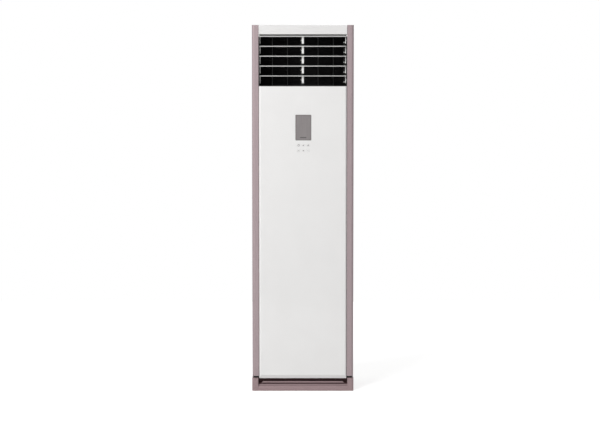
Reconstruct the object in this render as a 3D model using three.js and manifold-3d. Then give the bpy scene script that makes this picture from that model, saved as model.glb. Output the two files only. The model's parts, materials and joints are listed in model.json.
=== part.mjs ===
// Floor standing air conditioner: a tall cabinet with a louvred outlet at the top front, a blower at the
// foot and a slanted evaporator between them. Millimetres, +Z up, the front faces -Y, and the origin is
// under the cabinet's centre.
import * as THREE from "three";
import { mergeVertices } from "three/addons/utils/BufferGeometryUtils.js";
import Module from "manifold-3d";

const wasm = await Module();
wasm.setup();

// ---- Driving dimensions -------------------------------------------------------------------------

const GAP = 0.3; // between pieces that seat on each other
const RUNNING_GAP = 0.35; // round a pin in its bearing
const FACE_GAP = 1; // visible joint beside a panel, cap or key

const BODY_WIDTH = 490;
const BODY_DEPTH = 312;

const PLINTH_HEIGHT = 63;
const PLINTH_STEP = 1.5; // how far the plinth stands out past the cabinet
const PLINTH_WALL = 3;
const PLINTH_CORNER = 10;
const PLINTH_POST = 30; // width of each corner post in front
const SILL_DEPTH = 44; // front to back of the moulded sill between the posts
const SILL_TOE = 18; // height of the sill's upright foot
const SILL_SHOULDER = 31.5; // height where its slope ends
const SILL_SLOPE = 12; // how far the slope runs back
const SILL_GROOVE = 22; // depth of the dark groove over the slope
const SILL_GROOVE_HEIGHT = 5.5;
const SILL_RIDGE = 9.5; // height of the ridge over the groove
const SILL_LINE = 2.6; // height of the thin line pressed into the slope
const SILL_LINE_DEPTH = 3;
const SILL_BACK = 4; // thickness of the wall behind the groove
const SILL_POCKET = 18; // length of the gap at each end of the ridge
const SILL_SLANT = 8; // how much longer the gap is at its foot than at its top

const SEAM_HEIGHT = 9; // dark seam between the plinth and the cabinet
const BASE_SHEET = 2;
const BASE_INSET = 5;

const COLUMN_WIDTH = 32;
const COLUMN_DEPTH = 45;
const COLUMN_WALL = 2.5;
const COLUMN_RADIUS = 12; // outer front edge
const COLUMN_SETBACK = 6; // behind the face of the front panel
const COLUMN_RETURN = 15; // depth of the wall beside the front panel

const SIDE_SHEET = 1.5;
const SIDE_FLANGE = 16;
const REAR_SHEET = 1.6;
const BEAD_HEIGHT = 14; // pressed stiffening beads of the rear panel
const BEAD_DEPTH = 3;
const BEAD_MARGIN = 40; // from the panel's edge to a bead's end
const BEAD_OVER_DECK = 60;
const BEAD_PITCH = 340;
const BEAD_UNDER_LID = 200;
const LID_SHEET = 2;
const LID_FLANGE = 10;

const PANEL_HEIGHT = 1417;
const PANEL_DROP = 3; // how far the front panel hangs below the plinth's top
const PANEL_DEPTH = 15;
const PANEL_WALL = 3;
const PANEL_ROUND = 10; // radius of its upright edges
const PANEL_TOP_ROUND = 5;
const PANEL_BEVEL_HEIGHT = 14; // bevel along its foot
const PANEL_BEVEL_DEPTH = 5;
const PANEL_ROUND_STEPS = 4;
const PANEL_RIB = 2.4;
const PANEL_RIB_FOOT = 20; // over the panel's foot

const WINDOW_WIDTH = 76;
const WINDOW_HEIGHT = 123;
const WINDOW_DROP = 137; // from the top of the front panel to the top of the window
const WINDOW_GLASS = 2.2;
const WINDOW_SINK = 0.4; // behind the panel's face
const WINDOW_LEDGE = 5;
const WINDOW_RIM = 6;
const WINDOW_RIM_DEPTH = 4;
const FACE_SHIFT = 2.5; // window and keys sit this far right of the centre

const KEY_COLUMNS = 3;
const KEY_ROWS = 2;
const KEY_WIDTH = 13;
const KEY_HEIGHT = 9;
const KEY_PITCH_X = 23;
const KEY_PITCH_Z = 26;
const KEY_DROP = 24; // from the window's foot to the upper row
const KEY_GAP = 0.5;
const KEY_PROUD = 0.4;
const KEY_CORNER = 1.6;
const KEY_FLANGE = 1.2;
const KEY_FLANGE_RIM = 2; // how far the flange stands out past the cap
const KEY_STEM = 3; // radius
const KEY_STEM_LENGTH = 1.6;
const KEY_TRAVEL = 0.8;
const SWITCH_RADIUS = 3.5;
const SWITCH_LENGTH = 2;
const DISPLAY_BOARD_RIM = 12; // board below the lower keys
const DIGIT_HALF_WIDTH = 24;
const DIGIT_MARGIN = 20; // from the window's top and foot to the digit block
const DIGIT_THICKNESS = 1.5;

const CAP_HEIGHT = 42.4;
const CAP_WALL = 3;
const CAP_RADIUS = 9;
const CAP_CHAMFER = 1.5;
const CAP_PROUD = 2; // in front of the columns

const BLADE_COUNT = 5;
const BLADE_PITCH = 47.5;
const BLADE_FIRST = 28.4; // first pivot over the outlet's foot
const BLADE_LAST = 27.6; // last pivot below the outlet's top
const BLADE_GAP = 0.9; // between the edges of closed blades
const BLADE_THICKNESS = 3.8;
const BLADE_CAMBER = 1;
const BLADE_OFFSET = 18; // of the blade over its pivot
const BLADE_SETBACK = 3.85; // closed blades behind the columns' face
const BLADE_END_GAP = 1; // blade end to the frame's wall
const BLADE_STEPS = 8;
const BLADE_MOTOR_ON = 2; // index of the blade that the motor turns
const ARM_THICKNESS = 3;
const ARM_INSET = 1; // of the end arms from the blade's ends
const ARM_ROOT = 18; // width of an arm at its blade
const ARM_RADIUS = 6;
const ARM_DROP = 11; // centre of the arm's round foot below the pivot
const LUG_WIDTH = 12.5;
const PIN_RADIUS = 3;
const BLADE_CRANK = 10; // link pin below the pivot
const LINK_PIN_RADIUS = 2.5;
const BLADE_LINK_WIDTH = 8;
const BLADE_LINK_THICKNESS = 3;
const BLADE_LINK_INSET = 4; // from the right arm
const NOTCH_GAP = 1.5;
const NOTCH_REACH = 11; // of the notch forward of the pivot
const NOTCH_HALF_HEIGHT = 5;
const LIP_THICKNESS = 2; // of the strip behind the outlet's upper edge
const LIP_HEIGHT = 10;
const LIP_TO_POST = 1;
const SWING_GAP = 1.6; // between the top blade's swing and the frame's deck

const FRAME_WALL = 3;
const FRAME_DECK = 2;
const FRAME_BOSS = 2; // bearing boss outside the wall
const FRAME_BOSS_RADIUS = 6;
const FRAME_SETBACK = 2; // behind the columns' face
const FRAME_BEHIND_VANES = 5;
const POST_BEHIND_PIVOT = 29;
const POST_WIDTH = 8;
const POST_DEPTH = 5;
const EAR_THICKNESS = 3;
const EAR_GAP = 1;
const EAR_RADIUS = 5.6;
const EAR_PIN_END = 0.5; // pin past its ear

const VANE_COUNT = 5;
const VANE_MARGIN = 61.7; // from the outlet's side to the outer vanes
const VANE_HALF_CHORD = 32;
const VANE_THICKNESS = 2.5;
const VANE_BEHIND_POST = 2.5;
const VANE_PIN_RADIUS = 2.5;
const VANE_TOP_GAP = 1.5;
const VANE_CRANK = 22; // link pin behind the vane's axis
const VANE_LINK_PIN_RADIUS = 2;
const VANE_LINK_WIDTH = 9;
const VANE_LINK_THICKNESS = 2.5;
const VANE_LINK_LIFT = 2.5; // of the link over the frame's deck
const VANE_OVER_LINK = 1.5;
const VANE_HUB = 0.6; // swelling of a vane round its axis
const VANE_PIN_ROOT = 6; // of the pins inside the vane

const STEPPER_RADIUS = 14;
const STEPPER_LENGTH = 20;
const STEPPER_COLLAR = 6; // radius
const STEPPER_EAR = 21; // half-span of its fixing ears
const STEPPER_EAR_WIDTH = 8;
const STEPPER_EAR_THICKNESS = 2;
const STEPPER_EAR_HOLE = 1.8; // radius

const GRILLE_WIDTH = 210;
const GRILLE_HEIGHT = 400;
const GRILLE_FOOT = 60; // over the cabinet's foot
const GRILLE_CENTRE_Y = 22;
const GRILLE_BEZEL = 8;
const GRILLE_BEZEL_THICKNESS = 1.1;
const GRILLE_DEPTH = 11;
const GRILLE_WALL = 3;
const GRILLE_SLATS = 18;
const GRILLE_SLAT_THICKNESS = 2;
const GRILLE_SLAT_DROP = 7; // how far a slat falls towards the outside
const FILTER_DEPTH = 4;
const FILTER_FRAME = 8;
const FILTER_NET = 1;
const FILTER_RIB = 3;
const FILTER_RIBS_ACROSS = 2;
const FILTER_RIBS_UP = 3;

const FAN_CENTRE = 260; // height over the cabinet's foot
const WHEEL_RADIUS = 135;
const WHEEL_INNER = 112;
const WHEEL_WIDTH = 92;
const WHEEL_BLADES = 26;
const WHEEL_BLADE_THICKNESS = 2;
const WHEEL_BLADE_LEAD = 0.16; // radians from the root of a blade to its tip
const WHEEL_PLATE = 3;
const WHEEL_RING = 6;
const HUB_RADIUS = 22;
const HUB_LENGTH = 30;
const SHAFT_RADIUS = 6;
const SHAFT_LENGTH = 92;
const SHAFT_NOSE = 6; // shaft in front of the hub
const SCROLL_START = 150; // radius at the tongue
const SCROLL_TO_FILTER = 18.7; // between the volute and the filter
const SCROLL_STEPS = 28;
const TONGUE_ANGLE = 60; // degrees above the horizontal
const VOLUTE_WALL = 3;
const VOLUTE_FRONT = -62; // inner face of the volute's front
const VOLUTE_DEPTH = 112;
const INLET_RADIUS = 102;
const BELL_RADIUS = 118;
const BELL_DEPTH = 14;
const BELL_WALL = 2.4;
const BELL_SEAT = 8; // width of the bell's flat rim, half of it in the sheet
const BELL_SIDES = 24;
const WHEEL_TO_BELL = 5;
const MOTOR_RADIUS = 56;
const MOTOR_LENGTH = 58;
const MOTOR_RIM = 4;
const MOTOR_BOSS = 16;
const MOTOR_BOSS_LENGTH = 10;
const BRACKET_SIZE = 150;
const BRACKET_SHEET = 2.5;
const BRACKET_CORNER = 10;
const BRACKET_FLANGE = 14;
const HUB_GAP = 4; // round the hub and the motor's boss
const DECK_HEIGHT = 500; // of the deck plate over the cabinet's foot
const DECK_SHEET = 2;
const DECK_LIP = 12;
const DECK_SIDE_GAP = 4;
const DECK_NOTCH_PAST_HOSE = 20; // from the hose's axis to the notch's inner edge
const DECK_NOTCH_DEPTH = 80;

const COIL_LENGTH = 640; // along its slant
const COIL_THICKNESS = 50;
const COIL_MARGIN = 45; // from the cabinet's side to the fins
const COIL_FOOT_Y = -88;
const COIL_FOOT_Z = 778; // over the cabinet's foot
const COIL_REAR_GAP = 5; // from its end plates to the rear liner
const COIL_FINS = 24;
const COIL_FIN_DEPTH = 3;
const COIL_FIN_SHARE = 0.55; // of a pitch that a fin fills
const COIL_PLATE = 1.6;
const COIL_PLATE_RIM = 5;
const BEND_COUNT = 5;
const BEND_RADIUS = 5; // of the tube
const BEND_PITCH = 44;
const BEND_REACH = 16;
const BEND_STEPS = 4;
const BEND_SIDES = 6;

const PAN_WALL = 2.5;
const PAN_HEIGHT = 26;
const PAN_FLOOR_BELOW_COIL = 12;
const PAN_FRONT_GAP = 8;
const PAN_BACK_GAP = 10;
const PAN_SIDE_GAP = 10;
const SPOUT_RADIUS = 9;
const SPOUT_BORE = 6.5;
const SPOUT_LENGTH = 20;
const SPOUT_FROM_END = 22;

const HOSE_RADIUS = 9;
const HOSE_BORE = 6.5;
const HOSE_SIDES = 8;
const HOSE_TO_LIQUID_PIPE = 28; // between their axes
const HOSE_REAR_GAP = 31; // hose's axis in front of the cabinet's back
const HOSE_OVER_HOLE = 60;
const HOSE_DROP = 40; // straight fall below the spout
const HOSE_TURN = 60; // length of its bends
const HOSE_STEPS = 18;
const GAS_PIPE_RADIUS = 8;
const LIQUID_PIPE_RADIUS = 5;
const PIPE_WALL = 1.2;
const NUT_SCALE = 1.6; // flare nut across its corners against its pipe
const NUT_LENGTH = 22;
const PIPE_SIDES = 8;
const PIPE_TO_FILTER = 2.9; // from the gas pipe's nut to the filter
const PIPE_PITCH = 26; // between the two pipes
const PIPE_Y = 92;
const PIPE_OUT = 12; // from the coil's end plate
const PIPE_BACK = 42; // first run back from the coil's end
const PIPE_FALL = 22; // and its fall
const PIPE_BOW = 28; // how far the slope bows back
const PIPE_SLOPE = 110; // fall to the middle of the slope
const PIPE_BEND = 60; // length of the bend into the upright run
const PIPE_STEPS = 20;
const PIPE_OVER_HOLE = 90;

const LINER_SHEET = 4;
const LINER_FLANGE = 18;
const LINER_GAP = 4;
const LINER_RIBS = 5;
const LINER_RIB = 3;
const LINER_RIB_HEIGHT = 8;
const REAR_LINER_SHEET = 6;

const PIPE_HOLE_RADIUS = 36;
const PIPE_HOLE_HEIGHT = 100; // over the cabinet's foot
const PIPE_HOLE_TO_HOSE = 30; // between their middles

const BOX_WIDTH = 300;
const BOX_HEIGHT = 165;
const BOX_DEPTH = 52;
const BOX_OVER_DECK = 46;
const BOX_SHEET = 1.6;
const BOX_LEG = 10;
const BOX_LEG_INSET = 40;
const BOX_EMBOSS = 20; // from the cover's edge to its raised field
const BOX_CLEARANCE = 8; // between the box's wall and what is in it
const BOARD_THICKNESS = 1.6;
const BOARD_WIDTH = 190;
const BOARD_HEIGHT = 130;
const BOARD_STANDOFF = 6;
const BOARD_FOOT = 3; // radius of a standoff
const BOARD_FOOT_INSET = 12;
const BOARD_GRID = 5;
const TERMINAL_WAYS = 6;
const TERMINAL_PITCH = 11;
const TERMINAL_HEIGHT = 24;
const TERMINAL_DEPTH = 16;
const TERMINAL_WALL = 3;
const TERMINAL_WELL = 7; // depth
const CAPACITOR_CLIP = 5; // half the width of its clip
const CAPACITOR_CLIP_REACH = 22;
const CAPACITOR_CLIP_SHEET = 4;
const CAPACITOR_OVER_TERMINAL = 30;
const CAPACITOR_RADIUS = 17;
const CAPACITOR_LENGTH = 60;

const WALL_BRACKET_WIDTH = 70;
const WALL_BRACKET_SHEET = 1.4;
const WALL_BRACKET_LEG = 50;
const WALL_BRACKET_DROP = 30; // from the lid to the bracket's top
const WALL_BRACKET_HOLE = 4;

// ---- Levels and planes that follow --------------------------------------------------------------

const HALF_WIDTH = BODY_WIDTH / 2;
const FRONT = -BODY_DEPTH / 2;
const BACK = BODY_DEPTH / 2;
const BAY = HALF_WIDTH - COLUMN_WIDTH; // inner face of the columns
const COLUMN_FRONT = FRONT + COLUMN_SETBACK;
const COLUMN_BACK = COLUMN_FRONT + COLUMN_DEPTH;
const FOOT = PLINTH_HEIGHT + SEAM_HEIGHT; // of the cabinet
const PANEL_FOOT = PLINTH_HEIGHT - PANEL_DROP;
const PANEL_TOP = PANEL_FOOT + PANEL_HEIGHT;
const PANEL_BACK = FRONT + PANEL_DEPTH;
const FRAME_FOOT = PANEL_TOP + GAP;
const OUTLET_FOOT = FRAME_FOOT + FRAME_DECK;
const OUTLET_TOP = OUTLET_FOOT + BLADE_FIRST + (BLADE_COUNT - 1) * BLADE_PITCH + BLADE_LAST;
const FRAME_TOP = OUTLET_TOP + FRAME_DECK;
const CAP_FOOT = FRAME_TOP + GAP;
const TOP = CAP_FOOT + CAP_HEIGHT;
const SIDE_TOP = TOP - LID_SHEET - GAP;
const SHEET_FACE = HALF_WIDTH - SIDE_SHEET; // inner face of the side panels

const FRAME_SIDE = BAY - GAP;
const OUTLET_SIDE = FRAME_SIDE - FRAME_WALL;
const BLADE_CHORD = BLADE_PITCH - BLADE_GAP;
const BLADE_HALF_LENGTH = OUTLET_SIDE - BLADE_END_GAP;
const PIVOT_Y = COLUMN_FRONT + BLADE_SETBACK + BLADE_CAMBER + BLADE_THICKNESS / 2 + BLADE_OFFSET;
const pivotZ = (i) => OUTLET_FOOT + BLADE_FIRST + i * BLADE_PITCH;
const POST_Y = PIVOT_Y + POST_BEHIND_PIVOT;
const VANE_Y = POST_Y + POST_DEPTH + VANE_BEHIND_POST + VANE_HALF_CHORD;
const VANE_PITCH = (2 * (OUTLET_SIDE - VANE_MARGIN)) / (VANE_COUNT - 1);
const vaneX = (i) => (i - (VANE_COUNT - 1) / 2) * VANE_PITCH;
const FRAME_FRONT = COLUMN_FRONT + FRAME_SETBACK;
const FRAME_BACK = VANE_Y + VANE_HALF_CHORD + FRAME_BEHIND_VANES;
const VANE_LINK_FOOT = OUTLET_FOOT + VANE_LINK_LIFT;
const VANE_FOOT = VANE_LINK_FOOT + VANE_LINK_THICKNESS + VANE_OVER_LINK;

const WINDOW_TOP = PANEL_TOP - WINDOW_DROP;
const WINDOW_FOOT = WINDOW_TOP - WINDOW_HEIGHT;
const keyX = (c) => FACE_SHIFT + (c - (KEY_COLUMNS - 1) / 2) * KEY_PITCH_X;
const keyZ = (r) => WINDOW_FOOT - KEY_DROP - r * KEY_PITCH_Z;

const FAN_Z = FOOT + FAN_CENTRE;
const DECK_Z = FOOT + DECK_HEIGHT;
const VOLUTE_BACK = VOLUTE_FRONT + VOLUTE_DEPTH;
const WHEEL_FRONT = VOLUTE_FRONT + BELL_DEPTH - WHEEL_TO_BELL;
const WHEEL_BACK = WHEEL_FRONT + WHEEL_WIDTH;
const REAR_FACE = BACK - SIDE_SHEET - GAP; // outer face of the rear panel
const COIL_Z = FOOT + COIL_FOOT_Z;
const REAR_LINER_BACK = REAR_FACE - REAR_SHEET - BEAD_DEPTH - GAP;
const REAR_LINER_FRONT = REAR_LINER_BACK - REAR_LINER_SHEET;
const COIL_PLATE_HALF = COIL_THICKNESS / 2 + COIL_PLATE_RIM;
const COIL_ROOM = REAR_LINER_FRONT - COIL_REAR_GAP - COIL_FOOT_Y;
// The coil leans back, in radians from upright, until its end plates are that near the rear liner.
const COIL_TILT =
  Math.asin(COIL_ROOM / Math.hypot(COIL_LENGTH, COIL_PLATE_HALF)) - Math.atan2(COIL_PLATE_HALF, COIL_LENGTH);
const COIL_WIDTH = BODY_WIDTH - 2 * COIL_MARGIN;
const GRILLE_Z = FOOT + GRILLE_FOOT;
const FILTER_OUTSIDE = HALF_WIDTH - GRILLE_DEPTH - GAP;
const FILTER_INSIDE = FILTER_OUTSIDE - FILTER_DEPTH;
const SCROLL_END = FILTER_INSIDE - SCROLL_TO_FILTER - VOLUTE_WALL; // radius where the outlet neck starts
const GAS_PIPE_X = -(FILTER_INSIDE - PIPE_TO_FILTER - GAS_PIPE_RADIUS * NUT_SCALE);
const LIQUID_PIPE_X = GAS_PIPE_X + PIPE_PITCH;
const HOSE_X = LIQUID_PIPE_X + HOSE_TO_LIQUID_PIPE;
const PIPE_HOLE_X = HOSE_X + PIPE_HOLE_TO_HOSE;
const REAR_INSIDE = REAR_FACE - REAR_SHEET - GAP; // where things behind it may start

// ---- Solids from shapes -------------------------------------------------------------------------

const PIN_SIDES = 8;
const ROUND_SIDES = 18;
const sorted = (pair) => [Math.min(...pair), Math.max(...pair)];
const rad = THREE.MathUtils.degToRad;
const point = (u, v) => new THREE.Vector2(u, v);

// A closed geometry as a solid that can be joined and cut.
function solid(geometry) {
  const bare = geometry.index ? geometry.toNonIndexed() : geometry.clone();
  bare.deleteAttribute("normal");
  bare.deleteAttribute("uv");
  const merged = mergeVertices(bare, 1e-4);
  return new wasm.Manifold(
    new wasm.Mesh({
      numProp: 3,
      vertProperties: merged.attributes.position.array,
      triVerts: new Uint32Array(merged.index.array),
    }),
  );
}

const join = (solids) => solids.reduce((whole, one) => whole.add(one));
const cut = (whole, solids) => solids.reduce((left, one) => left.subtract(one), whole);

// A box between two limits on each axis.
function block(xs, ys, zs) {
  const [x, y, z] = [xs, ys, zs].map(sorted);
  const geometry = new THREE.BoxGeometry(x[1] - x[0], y[1] - y[0], z[1] - z[0]);
  return solid(geometry.translate((x[0] + x[1]) / 2, (y[0] + y[1]) / 2, (z[0] + z[1]) / 2));
}

// An outline extruded along an axis. It is drawn in (y, z) along x, in (x, z) along y and in (x, y) along z.
function prism(axis, outline, span, holes = []) {
  const [low, high] = sorted(span);
  const shape = new THREE.Shape(outline);
  shape.holes = holes.map((hole) => new THREE.Path(hole));
  const geometry = new THREE.ExtrudeGeometry(shape, { depth: high - low, bevelEnabled: false });
  const turn = new THREE.Matrix4();
  if (axis === "x") {
    turn.makeBasis(new THREE.Vector3(0, 1, 0), new THREE.Vector3(0, 0, 1), new THREE.Vector3(1, 0, 0));
    turn.setPosition(low, 0, 0);
  }
  if (axis === "y") {
    turn.makeRotationX(Math.PI / 2);
    turn.setPosition(0, high, 0);
  }
  if (axis === "z") turn.setPosition(0, 0, low);
  return solid(geometry.applyMatrix4(turn));
}

// Points on an arc, angles in degrees.
function arc(centre, radius, from, to, steps) {
  return Array.from({ length: steps + 1 }, (_, i) => {
    const angle = rad(from + ((to - from) * i) / steps);
    return point(centre[0] + radius * Math.cos(angle), centre[1] + radius * Math.sin(angle));
  });
}

const ring = (centre, radius, sides) => arc(centre, radius, 0, 360 - 360 / sides, sides - 1);
const rod = (axis, centre, radius, span, sides = PIN_SIDES) => prism(axis, ring(centre, radius, sides), span);

// The radius of a faceted hole whose flats keep a clearance to a pin.
const bored = (radius, gap = RUNNING_GAP, sides = PIN_SIDES) => (radius + gap) / Math.cos(Math.PI / sides);

// A rectangle with round corners.
function plate(us, vs, radius, steps = 3) {
  const [u, v] = [us, vs].map(sorted);
  return [
    ...arc([u[1] - radius, v[0] + radius], radius, -90, 0, steps),
    ...arc([u[1] - radius, v[1] - radius], radius, 0, 90, steps),
    ...arc([u[0] + radius, v[1] - radius], radius, 90, 180, steps),
    ...arc([u[0] + radius, v[0] + radius], radius, 180, 270, steps),
  ];
}

// A bar with round ends from one point to another.
function capsule(from, to, radius, steps = 6) {
  const heading = THREE.MathUtils.radToDeg(Math.atan2(to[1] - from[1], to[0] - from[0]));
  return [
    ...arc(to, radius, heading - 90, heading + 90, steps),
    ...arc(from, radius, heading + 90, heading + 270, steps),
  ];
}

// A tube with an open bore along a smooth line through points, or a rod where no bore is given.
function tube(points, radius, bore, sides, steps) {
  const line = new THREE.CatmullRomCurve3(points.map((p) => new THREE.Vector3(...p)), false, "centripetal");
  const section = new THREE.Shape(ring([0, 0], radius, sides));
  if (bore) section.holes.push(new THREE.Path(ring([0, 0], bore, sides)));
  return solid(new THREE.ExtrudeGeometry(section, { extrudePath: line, steps }));
}

const group = new THREE.Group();

// Adds a solid as a named mesh with a material of its own, at a place in the group.
function add(name, made, [color, roughness, metalness], place = [0, 0, 0]) {
  const { numProp, vertProperties, triVerts } = made.getMesh();
  const positions = new Float32Array((vertProperties.length / numProp) * 3);
  for (let i = 0; i < positions.length / 3; i++)
    positions.set(vertProperties.subarray(i * numProp, i * numProp + 3), i * 3);
  const geometry = new THREE.BufferGeometry();
  geometry.setAttribute("position", new THREE.BufferAttribute(positions, 3));
  geometry.setIndex(new THREE.BufferAttribute(triVerts, 1));
  const mesh = new THREE.Mesh(geometry, new THREE.MeshStandardMaterial({ color, roughness, metalness }));
  mesh.name = name;
  mesh.position.set(...place);
  group.add(mesh);
}

// Colour, roughness and metalness of each finish.
const ROSE = ["#a6979a", 0.38, 0.55];
const GLOSS_WHITE = ["#f0efee", 0.12, 0];
const COATED_STEEL = ["#e4e1dc", 0.42, 0.1];
const ZINC_STEEL = ["#b4b8ba", 0.4, 0.9];
const DARK_STEEL = ["#262424", 0.6, 0.3];
const BLACK_PLASTIC = ["#121213", 0.5, 0];
const BLADE_WHITE = ["#dcdcda", 0.35, 0];
const SMOKED = ["#8b8686", 0.2, 0];
const GREY_PLASTIC = ["#8d9092", 0.55, 0];
const WHITE_PLASTIC = ["#e9e8e4", 0.5, 0];
const ALUMINIUM = ["#c9ccce", 0.35, 0.9];
const COPPER = ["#b87348", 0.35, 0.95];
const BOARD_GREEN = ["#1f5a3a", 0.5, 0];
const FOAM = ["#1c1c1d", 0.95, 0];
const NET = ["#4b5560", 0.8, 0];

// ---- Plinth and base ----------------------------------------------------------------------------

// The moulded sill between the corner posts, drawn as height against distance behind the plinth's face.
function sillOutline(face) {
  const grooveTop = SILL_SHOULDER + SILL_GROOVE_HEIGHT;
  const lineZ = (SILL_TOE + SILL_SHOULDER) / 2;
  const lineY = SILL_SLOPE / 2;
  return [
    [0, 0],
    [SILL_DEPTH, 0],
    [SILL_DEPTH, PLINTH_HEIGHT],
    [SILL_DEPTH - SILL_BACK, PLINTH_HEIGHT],
    [SILL_DEPTH - SILL_BACK, grooveTop + SILL_RIDGE],
    [SILL_SLOPE, grooveTop + SILL_RIDGE],
    [SILL_SLOPE - 2, grooveTop + SILL_RIDGE - 2],
    [SILL_SLOPE - 2, grooveTop],
    [SILL_GROOVE, grooveTop],
    [SILL_GROOVE, SILL_SHOULDER],
    [SILL_SLOPE, SILL_SHOULDER],
    [lineY + 0.5, lineZ + SILL_LINE],
    [lineY + SILL_LINE_DEPTH, lineZ + SILL_LINE],
    [lineY + SILL_LINE_DEPTH, lineZ],
    [lineY, lineZ],
    [0, SILL_TOE],
  ].map(([back, z]) => point(face + back, z));
}

function plinth() {
  const half = HALF_WIDTH + PLINTH_STEP;
  const face = FRONT - PLINTH_STEP;
  const rear = BACK + PLINTH_STEP;
  const skirt = prism("z", plate([-half, half], [face, rear], PLINTH_CORNER), [0, PLINTH_HEIGHT]);
  const inner = half - PLINTH_WALL;
  const hollow = prism(
    "z",
    plate([-inner, inner], [face + SILL_DEPTH, rear - PLINTH_WALL], PLINTH_CORNER - PLINTH_WALL),
    [-1, PLINTH_HEIGHT + 1],
  );
  const end = half - PLINTH_POST;
  const recess = block([-end, end], [face - 1, face + SILL_DEPTH + 1], [-1, PLINTH_HEIGHT + 1]);
  const sill = prism("x", sillOutline(face), [-end - 1, end + 1]);
  // The ridge ends short of the posts.
  const ridgeFoot = SILL_SHOULDER + SILL_GROOVE_HEIGHT;
  const pocket = (side) =>
    prism(
      "y",
      [
        point(side * (end + 2), ridgeFoot),
        point(side * (end + 2), PLINTH_HEIGHT - 1),
        point(side * (end - SILL_POCKET + SILL_SLANT), PLINTH_HEIGHT - 1),
        point(side * (end - SILL_POCKET), ridgeFoot),
      ],
      [face - 1, face + SILL_DEPTH - SILL_BACK],
    );
  add("plinth", join([cut(skirt, [hollow, recess]), cut(sill, [pocket(-1), pocket(1)])]), ROSE);
}

function basePlate() {
  const half = HALF_WIDTH - BASE_INSET;
  const front = PANEL_BACK + BASE_INSET;
  const rear = BACK - BASE_INSET;
  const low = PLINTH_HEIGHT + GAP;
  const high = FOOT - GAP;
  const tray = block([-half, half], [front, rear], [low, high]);
  const under = block(
    [-half + BASE_SHEET, half - BASE_SHEET],
    [front + BASE_SHEET, rear - BASE_SHEET],
    [low - 1, high - BASE_SHEET],
  );
  add("base_plate", tray.subtract(under), DARK_STEEL);
}

// ---- Cabinet shell ------------------------------------------------------------------------------

// Half of the cabinet's front corner: a rounded outer wall with a return beside the front panel.
function column(name, side) {
  const r = COLUMN_RADIUS;
  const w = COLUMN_WALL;
  const inside = BAY;
  const centre = [HALF_WIDTH - r, COLUMN_FRONT + r];
  const outline = [
    point(inside, COLUMN_FRONT + COLUMN_RETURN),
    ...arc([inside + w, COLUMN_FRONT + w], w, 180, 270, 2),
    ...arc(centre, r, -90, 0, 6),
    point(HALF_WIDTH, COLUMN_BACK),
    point(HALF_WIDTH - w, COLUMN_BACK),
    ...arc(centre, r - w, 0, -90, 6),
    point(inside + w, COLUMN_FRONT + w),
    point(inside + w, COLUMN_FRONT + COLUMN_RETURN),
  ].map((p) => point(side * p.x, p.y));
  const wall = prism("z", outline, [FOOT, TOP]);
  const lidOutline = [
    point(inside, COLUMN_BACK),
    ...arc([inside + w, COLUMN_FRONT + w], w, 180, 270, 2),
    ...arc(centre, r, -90, 0, 6),
    point(HALF_WIDTH, COLUMN_BACK),
  ].map((p) => point(side * p.x, p.y));
  const lid = prism("z", lidOutline, [TOP - w, TOP]);
  add(name, join([wall, lid]), ROSE);
}

// A folded sheet side with a cut-out for the intake grille.
function sidePanel(name, side) {
  const front = COLUMN_BACK + FACE_GAP;
  const t = SIDE_SHEET;
  const outline = [
    [HALF_WIDTH, front],
    [HALF_WIDTH, BACK],
    [HALF_WIDTH - SIDE_FLANGE, BACK],
    [HALF_WIDTH - SIDE_FLANGE, BACK - t],
    [HALF_WIDTH - t, BACK - t],
    [HALF_WIDTH - t, front + t],
    [HALF_WIDTH - SIDE_FLANGE, front + t],
    [HALF_WIDTH - SIDE_FLANGE, front],
  ].map(([x, y]) => point(side * x, y));
  const hole = block(
    [side * (SHEET_FACE - 1), side * (HALF_WIDTH + 1)],
    [GRILLE_CENTRE_Y - GRILLE_WIDTH / 2, GRILLE_CENTRE_Y + GRILLE_WIDTH / 2],
    [GRILLE_Z, GRILLE_Z + GRILLE_HEIGHT],
  );
  add(name, prism("z", outline, [FOOT, SIDE_TOP]).subtract(hole), COATED_STEEL);
}

function rearPanel() {
  const half = SHEET_FACE - GAP;
  const inside = REAR_FACE - REAR_SHEET;
  const sheet = block([-half, half], [inside, REAR_FACE], [FOOT, SIDE_TOP]);
  const span = [inside - 1, REAR_FACE + 1];
  const hole = rod("y", [PIPE_HOLE_X, FOOT + PIPE_HOLE_HEIGHT], PIPE_HOLE_RADIUS, span, ROUND_SIDES);
  // Pressed stiffening beads stand inwards.
  const beadEnd = half - BEAD_MARGIN;
  const bead = (z) => block([-beadEnd, beadEnd], [inside - BEAD_DEPTH, inside + 0.5], [z, z + BEAD_HEIGHT]);
  const heights = [DECK_Z + BEAD_OVER_DECK, DECK_Z + BEAD_OVER_DECK + BEAD_PITCH, SIDE_TOP - BEAD_UNDER_LID];
  add("rear_panel", cut(join([sheet, ...heights.map(bead)]), [hole]), COATED_STEEL);
}

// A foam sheet on the rear panel's beads, behind the coil and the outlet.
function rearLiner() {
  const half = SHEET_FACE - GAP - LINER_GAP;
  const zs = [DECK_Z + DECK_SHEET + LINER_GAP, TOP - LID_SHEET - LID_FLANGE - FACE_GAP];
  add("rear_liner", block([-half, half], [REAR_LINER_FRONT, REAR_LINER_BACK], zs), FOAM);
}

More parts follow.
